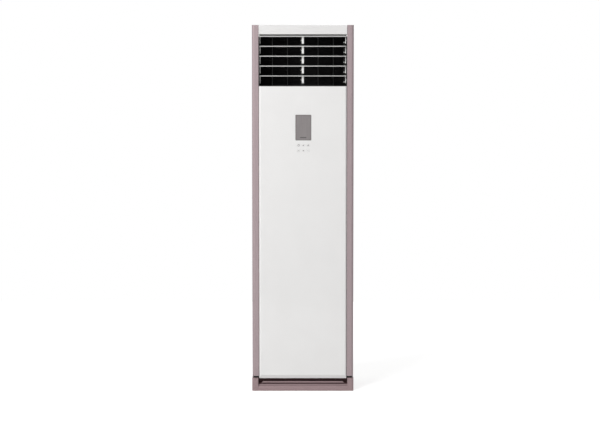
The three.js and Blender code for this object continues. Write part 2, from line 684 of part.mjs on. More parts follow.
function topCover() {
  const front = COLUMN_BACK + FACE_GAP;
  const outline = plate([-HALF_WIDTH, HALF_WIDTH], [front, BACK], 2, 1);
  const inset = SIDE_SHEET + GAP;
  const half = HALF_WIDTH - inset;
  const rear = REAR_INSIDE;
  const skirtFoot = TOP - LID_SHEET - LID_FLANGE;
  const skirtFront = front + SIDE_SHEET + GAP;
  const skirt = block([-half, half], [skirtFront, rear], [skirtFoot, TOP - LID_SHEET / 2]);
  const inner = block(
    [-half + LID_SHEET, half - LID_SHEET],
    [skirtFront + LID_SHEET, rear - LID_SHEET],
    [skirtFoot - 1, TOP - LID_SHEET],
  );
  add("top_cover", prism("z", outline, [TOP - LID_SHEET, TOP]).add(skirt).subtract(inner), COATED_STEEL);
}

// The moulded white front edge of the lid, between the columns.
function topCap() {
  const half = BAY - FACE_GAP / 2;
  const face = COLUMN_FRONT - CAP_PROUD;
  const section = (inset) => [
    point(face + inset + CAP_CHAMFER, CAP_FOOT - (inset ? 1 : 0)),
    point(face + inset, CAP_FOOT + CAP_CHAMFER),
    ...arc([face + CAP_RADIUS, TOP - CAP_RADIUS], CAP_RADIUS - inset, 180, 90, 5),
    point(COLUMN_BACK + (inset ? 1 : 0), TOP - inset),
    point(COLUMN_BACK + (inset ? 1 : 0), CAP_FOOT - (inset ? 1 : 0)),
  ];
  const shell = prism("x", section(0), [-half, half]);
  const hollow = prism("x", section(CAP_WALL), [-half + CAP_WALL, half - CAP_WALL]);
  add("top_cap", shell.subtract(hollow), GLOSS_WHITE);
}

// A sheet bracket at the top of the rear panel that ties the cabinet to a wall.
function wallBracket() {
  const half = WALL_BRACKET_WIDTH / 2;
  const t = WALL_BRACKET_SHEET;
  const seat = BACK - SIDE_SHEET;
  const high = TOP - WALL_BRACKET_DROP;
  const knee = high - WALL_BRACKET_LEG;
  const rear = BACK + PLINTH_STEP;
  const section = [
    [seat, knee - WALL_BRACKET_LEG],
    [seat + t, knee - WALL_BRACKET_LEG],
    [seat + t, knee - t],
    [rear, knee - t],
    [rear, high],
    [rear - t, high],
    [rear - t, knee],
    [seat, knee],
  ].map(([y, z]) => point(y, z));
  const holes = [-1, 1].map((side) =>
    rod("y", [(side * half) / 2, high - WALL_BRACKET_LEG / 3], WALL_BRACKET_HOLE, [seat - 1, rear + 1]),
  );
  add("wall_bracket", cut(prism("x", section, [-half, half]), holes), ZINC_STEEL);
}

// ---- Front panel, window and keys ---------------------------------------------------------------

// A panel with rounded upright edges, a bevelled foot and a hollow back: two sections that cross each other.
function roundedShell(us, vs, wall) {
  const solidShell = (inset) => {
    const rear = PANEL_BACK + (inset ? 1 : 0);
    const face = FRONT + inset;
    const [left, right] = [us[0] + inset, us[1] - inset];
    const [foot, top] = [vs[0] + inset, vs[1] - inset];
    const r = PANEL_ROUND - inset;
    const t = PANEL_TOP_ROUND - inset;
    const across = prism(
      "z",
      [
        point(left, rear),
        ...arc([left + r, face + r], r, 180, 270, PANEL_ROUND_STEPS),
        ...arc([right - r, face + r], r, 270, 360, PANEL_ROUND_STEPS),
        point(right, rear),
      ],
      [foot, top],
    );
    const up = prism(
      "x",
      [
        point(rear, foot),
        point(face + PANEL_BEVEL_DEPTH, foot),
        point(face, foot + PANEL_BEVEL_HEIGHT),
        ...arc([face + t, top - t], t, 180, 90, PANEL_ROUND_STEPS),
        point(rear, top),
      ],
      [left, right],
    );
    return across.intersect(up);
  };
  return solidShell(0).subtract(solidShell(wall));
}

function frontPanel() {
  const half = BAY - FACE_GAP;
  const shell = roundedShell([-half, half], [PANEL_FOOT, PANEL_TOP], PANEL_WALL);
  const [x0, x1] = [FACE_SHIFT - WINDOW_WIDTH / 2, FACE_SHIFT + WINDOW_WIDTH / 2];
  const inner = FRONT + PANEL_WALL;
  const rim = block(
    [x0 - WINDOW_RIM, x1 + WINDOW_RIM],
    [inner - 1, inner + WINDOW_RIM_DEPTH],
    [WINDOW_FOOT - WINDOW_RIM, WINDOW_TOP + WINDOW_RIM],
  );
  const seat = prism(
    "y",
    plate([x0 - GAP, x1 + GAP], [WINDOW_FOOT - GAP, WINDOW_TOP + GAP], 3),
    [FRONT - 1, FRONT + WINDOW_SINK + WINDOW_GLASS + GAP],
  );
  const through = block(
    [x0 + WINDOW_LEDGE, x1 - WINDOW_LEDGE],
    [FRONT - 1, inner + WINDOW_RIM_DEPTH + 1],
    [WINDOW_FOOT + WINDOW_LEDGE, WINDOW_TOP - WINDOW_LEDGE],
  );
  const keyHoles = keyPlaces().map(([x, z]) => {
    const [w, h] = [KEY_WIDTH / 2 + KEY_GAP, KEY_HEIGHT / 2 + KEY_GAP];
    return prism("y", plate([x - w, x + w], [z - h, z + h], KEY_CORNER + KEY_GAP, 2), [FRONT - 1, inner + 1]);
  });
  // Ribs behind the face, clear of the window's rim.
  const ribTop = WINDOW_FOOT - KEY_DROP - KEY_ROWS * KEY_PITCH_Z;
  const ribZs = [PANEL_FOOT + PANEL_RIB_FOOT, ribTop];
  const rib = (x) => block([x - PANEL_RIB / 2, x + PANEL_RIB / 2], [inner - 1, PANEL_BACK], ribZs);
  const ribs = [-half / 2, 0, half / 2].map(rib);
  add("front_panel", cut(join([shell, rim, ...ribs]), [seat, through, ...keyHoles]), GLOSS_WHITE);
}

function displayWindow() {
  const half = WINDOW_WIDTH / 2;
  const face = FRONT + WINDOW_SINK;
  const outline = plate([FACE_SHIFT - half, FACE_SHIFT + half], [WINDOW_FOOT, WINDOW_TOP], 3);
  add("display_window", prism("y", outline, [face, face + WINDOW_GLASS]), SMOKED);
}

function keyPlaces() {
  const places = [];
  for (let r = 0; r < KEY_ROWS; r++) for (let c = 0; c < KEY_COLUMNS; c++) places.push([keyX(c), keyZ(r)]);
  return places;
}

// A push key: a cap through the panel, a flange behind it and a stem towards its switch.
function key(name, x, z) {
  const [w, h] = [KEY_WIDTH / 2, KEY_HEIGHT / 2];
  const behind = FRONT + PANEL_WALL + GAP;
  const rim = KEY_FLANGE_RIM;
  const reach = [FRONT - KEY_PROUD, behind + KEY_FLANGE / 2];
  const cap = prism("y", plate([-w, w], [-h, h], KEY_CORNER, 2), reach);
  const flange = block([-w - rim, w + rim], [behind, behind + KEY_FLANGE], [-h - rim, h + rim]);
  const stem = rod("y", [0, 0], KEY_STEM, [behind, behind + KEY_FLANGE + KEY_STEM_LENGTH]);
  add(name, join([cap, flange, stem]), GLOSS_WHITE, [x, 0, z]);
}

// The board behind the window, with its digit block and a switch behind each key.
function displayBoard() {
  const switchFace = FRONT + PANEL_WALL + GAP + KEY_FLANGE + KEY_STEM_LENGTH + KEY_TRAVEL + GAP;
  const face = switchFace + SWITCH_LENGTH;
  const low = keyZ(KEY_ROWS - 1) - DISPLAY_BOARD_RIM;
  const half = WINDOW_WIDTH / 2;
  const across = [FACE_SHIFT - half, FACE_SHIFT + half];
  const board = block(across, [face, face + BOARD_THICKNESS], [low, WINDOW_TOP]);
  const digits = block(
    [FACE_SHIFT - DIGIT_HALF_WIDTH, FACE_SHIFT + DIGIT_HALF_WIDTH],
    [face - DIGIT_THICKNESS, face + 0.5],
    [WINDOW_FOOT + DIGIT_MARGIN, WINDOW_TOP - DIGIT_MARGIN],
  );
  const switches = keyPlaces().map(([x, z]) => rod("y", [x, z], SWITCH_RADIUS, [switchFace, face + 0.5]));
  add("display_board", join([board, digits, ...switches]), BOARD_GREEN);
}

// ---- Outlet: frame, blades and vanes ------------------------------------------------------------

function outletFrame() {
  const outer = block([-FRAME_SIDE, FRAME_SIDE], [FRAME_FRONT, FRAME_BACK], [FRAME_FOOT, FRAME_TOP]);
  const depth = [FRAME_FRONT - 1, FRAME_BACK + 1];
  const inner = block([-OUTLET_SIDE, OUTLET_SIDE], depth, [OUTLET_FOOT, OUTLET_TOP]);
  const postLeft = -LUG_WIDTH / 2 - EAR_GAP - EAR_THICKNESS;
  const post = block(
    [postLeft, POST_WIDTH / 2],
    [POST_Y, POST_Y + POST_DEPTH],
    [OUTLET_FOOT - 1, OUTLET_TOP + 1],
  );
  const pieces = [outer.subtract(inner), post];
  const holes = [];
  for (let i = 0; i < BLADE_COUNT; i++) {
    const pivot = [PIVOT_Y, pivotZ(i)];
    const ear = capsule(pivot, [POST_Y + POST_DEPTH / 2, pivotZ(i)], EAR_RADIUS);
    const earCut = block(
      [postLeft - 1, postLeft + EAR_THICKNESS + 1],
      [POST_Y + POST_DEPTH, POST_Y + 3 * POST_DEPTH],
      [pivotZ(i) - 2 * EAR_RADIUS, pivotZ(i) + 2 * EAR_RADIUS],
    );
    pieces.push(prism("x", ear, [postLeft, postLeft + EAR_THICKNESS]).subtract(earCut));
    for (const side of [-1, 1]) {
      const bossSpan = [side * (FRAME_SIDE - 1), side * (FRAME_SIDE + FRAME_BOSS)];
      pieces.push(rod("x", pivot, FRAME_BOSS_RADIUS, bossSpan));
    }
    holes.push(rod("x", pivot, bored(PIN_RADIUS), [-FRAME_SIDE - 10, postLeft + EAR_THICKNESS + 1]));
    holes.push(rod("x", pivot, bored(PIN_RADIUS), [OUTLET_SIDE - 1, FRAME_SIDE + 10]));
  }
  for (let i = 0; i < VANE_COUNT; i++)
    holes.push(rod("z", [vaneX(i), VANE_Y], bored(VANE_PIN_RADIUS), [FRAME_FOOT - 1, FRAME_TOP + 1]));
  // The upper deck is open where the top blade's edge swings through it.
  const swing = Math.hypot(BLADE_CHORD / 2, BLADE_OFFSET);
  const reach = Math.sqrt(swing ** 2 - (OUTLET_TOP - pivotZ(BLADE_COUNT - 1)) ** 2) + SWING_GAP;
  const slotDepth = [PIVOT_Y - reach, PIVOT_Y + reach];
  const slot = block([-OUTLET_SIDE, OUTLET_SIDE], slotDepth, [OUTLET_TOP - 1, FRAME_TOP + 1]);
  add("outlet_frame", cut(join(pieces), [...holes, slot]), BLACK_PLASTIC);
}

// A grey strip that hangs from the deck behind the top blade.
function outletLip() {
  const back = POST_Y - LIP_TO_POST;
  const half = OUTLET_SIDE - GAP;
  const zs = [OUTLET_TOP - GAP - LIP_HEIGHT, OUTLET_TOP - GAP];
  add("outlet_lip", block([-half, half], [back - LIP_THICKNESS, back], zs), GREY_PLASTIC);
}

// A cambered louvre blade on three arms, drawn round its pivot axis.
function bladeSolid(motorised) {
  const half = BLADE_CHORD / 2;
  const rise = (y) => BLADE_OFFSET + BLADE_CAMBER * (1 - (y / half) ** 2);
  const swell = (y) => (BLADE_THICKNESS / 2) * Math.sqrt(1 - Math.abs(y / half) ** 5);
  const along = Array.from(
    { length: BLADE_STEPS - 1 },
    (_, i) => -half * Math.cos((Math.PI * (i + 1)) / BLADE_STEPS),
  );
  const outline = [
    point(-half, rise(half)),
    ...along.map((y) => point(y, rise(y) - swell(y))),
    point(half, rise(half)),
    ...along.toReversed().map((y) => point(y, rise(y) + swell(y))),
  ];
  const foil = prism("x", outline, [-BLADE_HALF_LENGTH, BLADE_HALF_LENGTH]);
  const armOutline = [
    point(-ARM_ROOT / 2, BLADE_OFFSET),
    ...arc([0, -ARM_DROP], ARM_RADIUS, 180, 360, 6),
    point(ARM_ROOT / 2, BLADE_OFFSET),
  ];
  const armOuter = BLADE_HALF_LENGTH - ARM_INSET;
  const armInner = armOuter - ARM_THICKNESS;
  const arm = (span) => prism("x", armOutline, span);
  const pinEnd = FRAME_SIDE + FRAME_BOSS - GAP;
  const motorPinEnd = motorised ? pinEnd + GAP + STEPPER_COLLAR / 2 : pinEnd;
  const linkPinEnd = armInner - BLADE_LINK_INSET - BLADE_LINK_THICKNESS - NOTCH_GAP;
  const notchSpan = [linkPinEnd, armInner - BLADE_LINK_INSET + NOTCH_GAP];
  const notchHeights = [BLADE_OFFSET - NOTCH_HALF_HEIGHT, BLADE_OFFSET + NOTCH_HALF_HEIGHT];
  return join([
    foil,
    arm([-armOuter, -armInner]),
    arm([armInner, armOuter]),
    arm([-LUG_WIDTH / 2, LUG_WIDTH / 2]),
    rod("x", [0, 0], PIN_RADIUS, [-pinEnd, -armInner]),
    rod("x", [0, 0], PIN_RADIUS, [armInner, motorPinEnd]),
    rod("x", [0, 0], PIN_RADIUS, [-LUG_WIDTH / 2 - EAR_GAP - EAR_THICKNESS - EAR_PIN_END, 0]),
    rod("x", [0, -BLADE_CRANK], LINK_PIN_RADIUS, [linkPinEnd, armOuter - 0.5]),
  ]).subtract(block(notchSpan, [-NOTCH_REACH, half + 1], notchHeights));
}

function bladeLink() {
  const right = BLADE_HALF_LENGTH - ARM_INSET - ARM_THICKNESS - BLADE_LINK_INSET;
  const low = pivotZ(0) - BLADE_CRANK;
  const high = pivotZ(BLADE_COUNT - 1) - BLADE_CRANK;
  const span = [right - BLADE_LINK_THICKNESS, right];
  const bar = prism("x", capsule([PIVOT_Y, low], [PIVOT_Y, high], BLADE_LINK_WIDTH / 2), span);
  const holes = Array.from({ length: BLADE_COUNT }, (_, i) =>
    rod("x", [PIVOT_Y, pivotZ(i) - BLADE_CRANK], bored(LINK_PIN_RADIUS), [span[0] - 1, span[1] + 1]),
  );
  add("blade_link", cut(bar, holes), BLACK_PLASTIC);
}

// A vertical vane round its own axis, with its link pin behind and below.
function vaneSolid() {
  const t = VANE_THICKNESS / 2;
  const outline = [
    ...arc([0, -VANE_HALF_CHORD + t], t, 180, 360, 3),
    point(t + VANE_HUB, 0),
    ...arc([0, VANE_HALF_CHORD - t / 2], t / 2, 0, 180, 2),
    point(-t - VANE_HUB, 0),
  ];
  const top = OUTLET_TOP - VANE_TOP_GAP;
  return join([
    prism("z", outline, [VANE_FOOT, top]),
    rod("z", [0, 0], VANE_PIN_RADIUS, [FRAME_FOOT + 0.5, VANE_FOOT + VANE_PIN_ROOT]),
    rod("z", [0, 0], VANE_PIN_RADIUS, [top - VANE_PIN_ROOT, FRAME_TOP - 0.5]),
    rod("z", [0, VANE_CRANK], VANE_LINK_PIN_RADIUS, [VANE_LINK_FOOT - 0.5, VANE_FOOT + 4]),
  ]);
}

function vaneLink() {
  const y = VANE_Y + VANE_CRANK;
  const span = [VANE_LINK_FOOT, VANE_LINK_FOOT + VANE_LINK_THICKNESS];
  const bar = prism("z", capsule([vaneX(0), y], [vaneX(VANE_COUNT - 1), y], VANE_LINK_WIDTH / 2), span);
  const holes = Array.from({ length: VANE_COUNT }, (_, i) =>
    rod("z", [vaneX(i), y], bored(VANE_LINK_PIN_RADIUS), [span[0] - 1, span[1] + 1]),
  );
  add("vane_link", cut(bar, holes), BLACK_PLASTIC);
}

// A small geared stepper with two fixing ears, drawn with its collar at the origin and its body along +Z.
function stepper(pinRadius) {
  const ears = prism(
    "z",
    capsule([-STEPPER_EAR, 0], [STEPPER_EAR, 0], STEPPER_EAR_WIDTH / 2),
    [STEPPER_COLLAR / 2, STEPPER_COLLAR / 2 + STEPPER_EAR_THICKNESS],
  );
  return cut(
    join([
      rod("z", [0, 0], STEPPER_COLLAR, [0, STEPPER_COLLAR], PIN_SIDES),
      rod("z", [0, 0], STEPPER_RADIUS, [STEPPER_COLLAR / 2, STEPPER_LENGTH], ROUND_SIDES),
      ears,
    ]),
    [
      rod("z", [0, 0], bored(pinRadius), [-1, STEPPER_COLLAR - 1]),
      rod("z", [-STEPPER_EAR, 0], STEPPER_EAR_HOLE, [0, STEPPER_COLLAR * 2]),
      rod("z", [STEPPER_EAR, 0], STEPPER_EAR_HOLE, [0, STEPPER_COLLAR * 2]),
    ],
  );
}

function outlet() {
  outletFrame();
  outletLip();
  for (let i = 0; i < BLADE_COUNT; i++)
    add(`blade_${i + 1}`, bladeSolid(i === BLADE_MOTOR_ON), BLADE_WHITE, [0, PIVOT_Y, pivotZ(i)]);
  bladeLink();
  const bladeStepper = stepper(PIN_RADIUS).rotate([0, 90, 0]);
  add("blade_motor", bladeStepper, WHITE_PLASTIC, [
    FRAME_SIDE + FRAME_BOSS + GAP,
    PIVOT_Y,
    pivotZ(BLADE_MOTOR_ON),
  ]);
  for (let i = 0; i < VANE_COUNT; i++) {
    add(`vane_${i + 1}`, vaneSolid(), BLACK_PLASTIC, [vaneX(i), VANE_Y, 0]);
  }
  vaneLink();
  const vaneStepper = stepper(VANE_PIN_RADIUS).rotate([180, 0, 0]);
  add("vane_motor", vaneStepper, WHITE_PLASTIC, [vaneX(VANE_COUNT - 1), VANE_Y, FRAME_FOOT - GAP]);
}

// ---- Intake grilles and filters -----------------------------------------------------------------

// A louvred grille that fills the cut-out of a side panel, with a bezel outside and slats falling outwards.
function intakeGrille(name, side) {
  const y0 = GRILLE_CENTRE_Y - GRILLE_WIDTH / 2 + FACE_GAP / 2;
  const y1 = GRILLE_CENTRE_Y + GRILLE_WIDTH / 2 - FACE_GAP / 2;
  const z0 = GRILLE_Z + FACE_GAP / 2;
  const z1 = GRILLE_Z + GRILLE_HEIGHT - FACE_GAP / 2;
  const outside = HALF_WIDTH + GAP + GRILLE_BEZEL_THICKNESS;
  const inside = HALF_WIDTH - GRILLE_DEPTH;
  const w = GRILLE_WALL;
  const bezel = block(
    [side * (HALF_WIDTH + GAP), side * outside],
    [y0 - GRILLE_BEZEL, y1 + GRILLE_BEZEL],
    [z0 - GRILLE_BEZEL, z1 + GRILLE_BEZEL],
  );
  const body = block([side * inside, side * outside], [y0, y1], [z0, z1]);
  const hollow = block([side * (inside - 1), side * (outside + 1)], [y0 + w, y1 - w], [z0 + w, z1 - w]);
  const pitch = (z1 - z0 - 2 * w) / GRILLE_SLATS;
  const slats = Array.from({ length: GRILLE_SLATS - 1 }, (_, i) => {
    const z = z0 + w + (i + 1) * pitch;
    const drop = GRILLE_SLAT_DROP / 2;
    const t = GRILLE_SLAT_THICKNESS;
    const slat = [
      [inside, z + drop],
      [inside, z + drop + t],
      [outside - 0.4, z - drop + t],
      [outside - 0.4, z - drop],
    ].map(([x, v]) => point(side * x, v));
    return prism("y", slat, [y0 + w / 2, y1 - w / 2]);
  });
  add(name, join([cut(join([bezel, body]), [hollow]), ...slats]), COATED_STEEL);
}

// A net in a ribbed frame, clipped behind the grille.
function filter(name, side) {
  const [x0, x1] = [FILTER_INSIDE, FILTER_OUTSIDE];
  const y0 = GRILLE_CENTRE_Y - GRILLE_WIDTH / 2 + GRILLE_WALL;
  const y1 = GRILLE_CENTRE_Y + GRILLE_WIDTH / 2 - GRILLE_WALL;
  const [z0, z1] = [GRILLE_Z + GRILLE_WALL, GRILLE_Z + GRILLE_HEIGHT - GRILLE_WALL];
  const f = FILTER_FRAME;
  const spans = [side * x0, side * x1];
  const rim = block(spans, [y0, y1], [z0, z1]).subtract(
    block([side * (x0 - 1), side * (x1 + 1)], [y0 + f, y1 - f], [z0 + f, z1 - f]),
  );
  const middle = (x0 + x1) / 2;
  const netSpan = [side * (middle - FILTER_NET / 2), side * (middle + FILTER_NET / 2)];
  const net = block(netSpan, [y0 + f - 1, y1 - f + 1], [z0 + f - 1, z1 - f + 1]);
  const shares = (low, high, n) => {
    const step = (high - low) / (n + 1);
    return Array.from({ length: n }, (_, i) => low + step * (i + 1));
  };
  const r = FILTER_RIB / 2;
  // Ribs divide the net into even panes.
  const upright = (y) => block(spans, [y - r, y + r], [z0 + 1, z1 - 1]);
  const uprights = shares(y0, y1, FILTER_RIBS_ACROSS).map(upright);
  const rail = (z) => block(spans, [y0 + 1, y1 - 1], [z - r, z + r]);
  const rails = shares(z0, z1, FILTER_RIBS_UP).map(rail);
  add(name, join([rim, net, ...uprights, ...rails]), NET);
}

// ---- Blower -------------------------------------------------------------------------------------

// The scroll's outline in (x, z): a spiral from the tongue round to the outlet neck, which rises to the deck.
function scrollOutline(wall, neckTop) {
  const turn = 180 + TONGUE_ANGLE;
  const spiral = Array.from({ length: SCROLL_STEPS + 1 }, (_, i) => {
    const share = i / SCROLL_STEPS;
    const radius = SCROLL_START * (SCROLL_END / SCROLL_START) ** share + wall;
    const angle = rad(TONGUE_ANGLE - turn * share);
    return point(radius * Math.cos(angle), FAN_Z + radius * Math.sin(angle));
  });
  return [point(spiral[0].x, neckTop), ...spiral, point(spiral[SCROLL_STEPS].x, neckTop)];
}

function voluteCasing() {
  const top = DECK_Z - GAP;
  const outer = prism("y", scrollOutline(VOLUTE_WALL, top), [VOLUTE_FRONT, VOLUTE_BACK + VOLUTE_WALL]);
  const inner = prism("y", scrollOutline(0, top + 1), [VOLUTE_FRONT - 1, VOLUTE_BACK]);
  const wallSpan = [VOLUTE_BACK - 1, VOLUTE_BACK + VOLUTE_WALL + 1];
  const hole = rod("y", [0, FAN_Z], HUB_RADIUS + HUB_GAP, wallSpan, ROUND_SIDES);
  const half = SCROLL_START / 2;
  const depth = [VOLUTE_FRONT, VOLUTE_BACK + VOLUTE_WALL];
  const stand = block([-half, half], depth, [FOOT, FAN_Z - SCROLL_START]);
  const under = block(
    [-half + VOLUTE_WALL, half - VOLUTE_WALL],
    [depth[0] - 1, depth[1] + 1],
    [FOOT + VOLUTE_WALL, FAN_Z - SCROLL_START + 1],
  );
  add("volute_casing", cut(join([outer, stand.subtract(under)]), [inner, hole]), ZINC_STEEL);
}

// The front of the scroll with its bell-mouthed inlet.
function voluteFront() {
  const face = VOLUTE_FRONT - GAP;
  const sheet = prism("y", scrollOutline(VOLUTE_WALL, DECK_Z - GAP), [face - VOLUTE_WALL, face]);
  const wallSpan = [face - VOLUTE_WALL - 1, face + 1];
  const hole = rod("y", [0, FAN_Z], BELL_RADIUS + BELL_SEAT / 2, wallSpan, BELL_SIDES + 6);
  const flare = BELL_RADIUS - INLET_RADIUS;
  const inset = (VOLUTE_WALL - BELL_WALL) / 2;
  const rise = inset + flare;
  const rim = BELL_RADIUS + BELL_SEAT;
  const throat = arc([BELL_RADIUS, rise], flare, 270, 180, 3);
  const behind = arc([BELL_RADIUS, rise], flare - BELL_WALL, 180, 270, 3);
  const mouth = VOLUTE_WALL + BELL_DEPTH;
  const profile = [
    point(rim, inset + BELL_WALL),
    ...behind.toReversed(),
    point(INLET_RADIUS + BELL_WALL, mouth),
    point(INLET_RADIUS, mouth),
    ...throat.toReversed(),
    point(rim, inset),
  ];
  const bell = new THREE.LatheGeometry([...profile, profile[0].clone()], BELL_SIDES);
  const bellSolid = solid(bell.translate(0, face - VOLUTE_WALL, 0)).translate([0, 0, FAN_Z]);
  add("volute_front", join([sheet.subtract(hole), bellSolid]), ZINC_STEEL);
}

// A squirrel-cage wheel: forward-leaning blades between a back plate with its hub and a front ring.
function fanWheel() {
  const bladeOutline = () => {
    const edge = (offset) =>
      [0, 0.5, 1].map((share) => {
        const radius = WHEEL_INNER + (WHEEL_RADIUS - WHEEL_INNER) * share;
        const angle = offset / radius - WHEEL_BLADE_LEAD * share ** 2;
        return point(radius * Math.cos(angle), radius * Math.sin(angle));
      });
    return [...edge(-WHEEL_BLADE_THICKNESS / 2), ...edge(WHEEL_BLADE_THICKNESS / 2).toReversed()];
  };
  const one = prism("y", bladeOutline(), [WHEEL_FRONT + 1, WHEEL_BACK - 1]);
  const blades = Array.from({ length: WHEEL_BLADES }, (_, i) => one.rotate([0, (360 * i) / WHEEL_BLADES, 0]));
  const rim = 1;
  const outer = WHEEL_RADIUS + rim;
  const sides = WHEEL_BLADES;
  const frontRing = prism("y", ring([0, 0], outer, sides), [WHEEL_FRONT, WHEEL_FRONT + WHEEL_RING], [
    ring([0, 0], WHEEL_INNER + 10, sides),
  ]);
  const backPlate = prism("y", ring([0, 0], outer, sides), [WHEEL_BACK - WHEEL_PLATE, WHEEL_BACK]);
  const hub = rod("y", [0, 0], HUB_RADIUS, [WHEEL_BACK - HUB_LENGTH, WHEEL_BACK], ROUND_SIDES);
  const bore = rod("y", [0, 0], bored(SHAFT_RADIUS, GAP), [WHEEL_FRONT, WHEEL_BACK + 1]);
  add("fan_wheel", cut(join([...blades, frontRing, backPlate, hub]), [bore]), BLACK_PLASTIC, [0, 0, FAN_Z]);
}

function fanDrive() {
  const start = WHEEL_BACK - HUB_LENGTH - SHAFT_NOSE;
  add("fan_shaft", rod("y", [0, 0], SHAFT_RADIUS, [start, start + SHAFT_LENGTH]), ZINC_STEEL, [0, 0, FAN_Z]);
  const bracketFace = VOLUTE_BACK + VOLUTE_WALL + GAP;
  const half = BRACKET_SIZE / 2;
  const bracketBack = bracketFace + BRACKET_SHEET;
  const outline = plate([-half, half], [-half, half], BRACKET_CORNER, 2);
  const bracket = prism("y", outline, [bracketFace, bracketBack]);
  const centreHole = rod("y", [0, 0], MOTOR_BOSS + HUB_GAP, [bracketFace - 1, bracketBack + 1], ROUND_SIDES);
  const flanges = [-1, 1].map((side) =>
    block(
      [side * half, side * (half - BRACKET_SHEET)],
      [bracketFace, bracketBack + BRACKET_FLANGE],
      [-half + BRACKET_CORNER, half - BRACKET_CORNER],
    ),
  );
  add("motor_bracket", join([cut(bracket, [centreHole]), ...flanges]), ZINC_STEEL, [0, 0, FAN_Z]);
  const face = bracketBack + GAP;
  const body = rod("y", [0, 0], MOTOR_RADIUS, [face, face + MOTOR_LENGTH], ROUND_SIDES);
  const rimAt = (y) => rod("y", [0, 0], MOTOR_RADIUS + MOTOR_RIM, [y - 2, y + 2], ROUND_SIDES);
  const boss = rod("y", [0, 0], MOTOR_BOSS, [face - MOTOR_BOSS_LENGTH / 2, face + 1], ROUND_SIDES);
  const backBoss = rod("y", [0, 0], MOTOR_BOSS, [face, face + MOTOR_LENGTH + MOTOR_BOSS_LENGTH], ROUND_SIDES);
  const bore = rod("y", [0, 0], bored(SHAFT_RADIUS), [face - MOTOR_BOSS_LENGTH, start + SHAFT_LENGTH + 1]);
  const motor = cut(join([body, rimAt(face + MOTOR_LENGTH / 2), boss, backBoss]), [bore]);
  add("fan_motor", motor, ALUMINIUM, [0, 0, FAN_Z]);
}

// The deck over the blower, with the neck's opening and a notch for the pipes.
function deckPlate() {
  const half = SHEET_FACE - DECK_SIDE_GAP;
  const front = PANEL_BACK + BASE_INSET;
  const rear = REAR_INSIDE - DECK_SIDE_GAP;
  const outline = scrollOutline(0, DECK_Z);
  const [right, left] = [outline[0].x, outline[outline.length - 1].x];
  const sheet = block([-half, half], [front, rear], [DECK_Z, DECK_Z + DECK_SHEET]);
  const lip = block([left - 2, right + 2], [VOLUTE_FRONT - 2, VOLUTE_BACK + 2], [DECK_Z, DECK_Z + DECK_LIP]);
  const neck = block([left, right], [VOLUTE_FRONT, VOLUTE_BACK], [DECK_Z - 1, DECK_Z + DECK_LIP + 1]);
  const notch = block(
    [-half - 1, HOSE_X + DECK_NOTCH_PAST_HOSE],
    [rear - DECK_NOTCH_DEPTH, rear + 1],
    [DECK_Z - 1, DECK_Z + DECK_LIP + 1],
  );
  const corners = [-1, 1].map((side) =>
    block([side * (BAY - DECK_SIDE_GAP), side * (half + 1)], [front - 1, COLUMN_BACK + DECK_SIDE_GAP], [
      DECK_Z - 1,
      DECK_Z + DECK_SHEET + 1,
    ]),
  );
  add("deck_plate", cut(join([sheet, lip]), [neck, notch, ...corners]), ZINC_STEEL);
}

// ---- Evaporator and its drain -------------------------------------------------------------------

// Pieces of the coil are drawn upright round the middle of its foot, then leaned back into place.
const lean = (made) => made.rotate([(-COIL_TILT * 180) / Math.PI, 0, 0]);
const COIL_PLACE = [0, COIL_FOOT_Y, COIL_Z];

function coil() {
  const half = COIL_THICKNESS / 2;
  const pitch = COIL_WIDTH / COIL_FINS;
  const tooth = (i, side) => {
    const x = side * (-COIL_WIDTH / 2 + i * pitch);
    return [
      point(x, side * -half),
      point(x + side * pitch * COIL_FIN_SHARE, side * -half),
      point(x + side * pitch * COIL_FIN_SHARE, side * -(half - COIL_FIN_DEPTH)),
      point(x + side * pitch, side * -(half - COIL_FIN_DEPTH)),
    ];
  };
  const fins = Array.from({ length: COIL_FINS }, (_, i) => i);
  const outline = [
    ...fins.flatMap((i) => tooth(i, 1)),
    point(COIL_WIDTH / 2, 0),
    ...fins.flatMap((i) => tooth(i, -1)),
    point(-COIL_WIDTH / 2, 0),
  ];
  add("evaporator_coil", lean(prism("z", outline, [0, COIL_LENGTH])), ALUMINIUM, COIL_PLACE);
}

// An end plate with the return bends of the tubes outside it.
function coilEnd(name, side) {
  const x0 = COIL_WIDTH / 2 + GAP;
  const x1 = x0 + COIL_PLATE;
  const half = COIL_PLATE_HALF;
  const sheet = block([side * x0, side * x1], [-half, half], [0, COIL_LENGTH]);
  const bends = Array.from({ length: BEND_COUNT }, (_, i) => {
    const z = (COIL_LENGTH * (i + 0.5)) / BEND_COUNT;
    const corners = [
      [x1 - 0.5, -BEND_PITCH / 4, z],
      [x1 + BEND_REACH * 0.6, -BEND_PITCH / 4, z],
      [x1 + BEND_REACH, 0, z],
      [x1 + BEND_REACH * 0.6, BEND_PITCH / 4, z],
      [x1 - 0.5, BEND_PITCH / 4, z],
    ].map(([x, y, v]) => [side * x, y, v]);
    return tube(corners, BEND_RADIUS, 0, BEND_SIDES, BEND_STEPS);
  });
  add(name, lean(join([sheet, ...bends])), COPPER, COIL_PLACE);
}

function panLimits() {
  const half = COIL_PLATE_HALF;
  return {
    floor: COIL_Z - half * Math.sin(COIL_TILT) - PAN_FLOOR_BELOW_COIL,
    front: COIL_FOOT_Y - half * Math.cos(COIL_TILT) - PAN_FRONT_GAP,
    back: COIL_FOOT_Y + half * Math.cos(COIL_TILT) + PAN_BACK_GAP,
    side: COIL_WIDTH / 2 + GAP + COIL_PLATE + PAN_SIDE_GAP,
  };
}

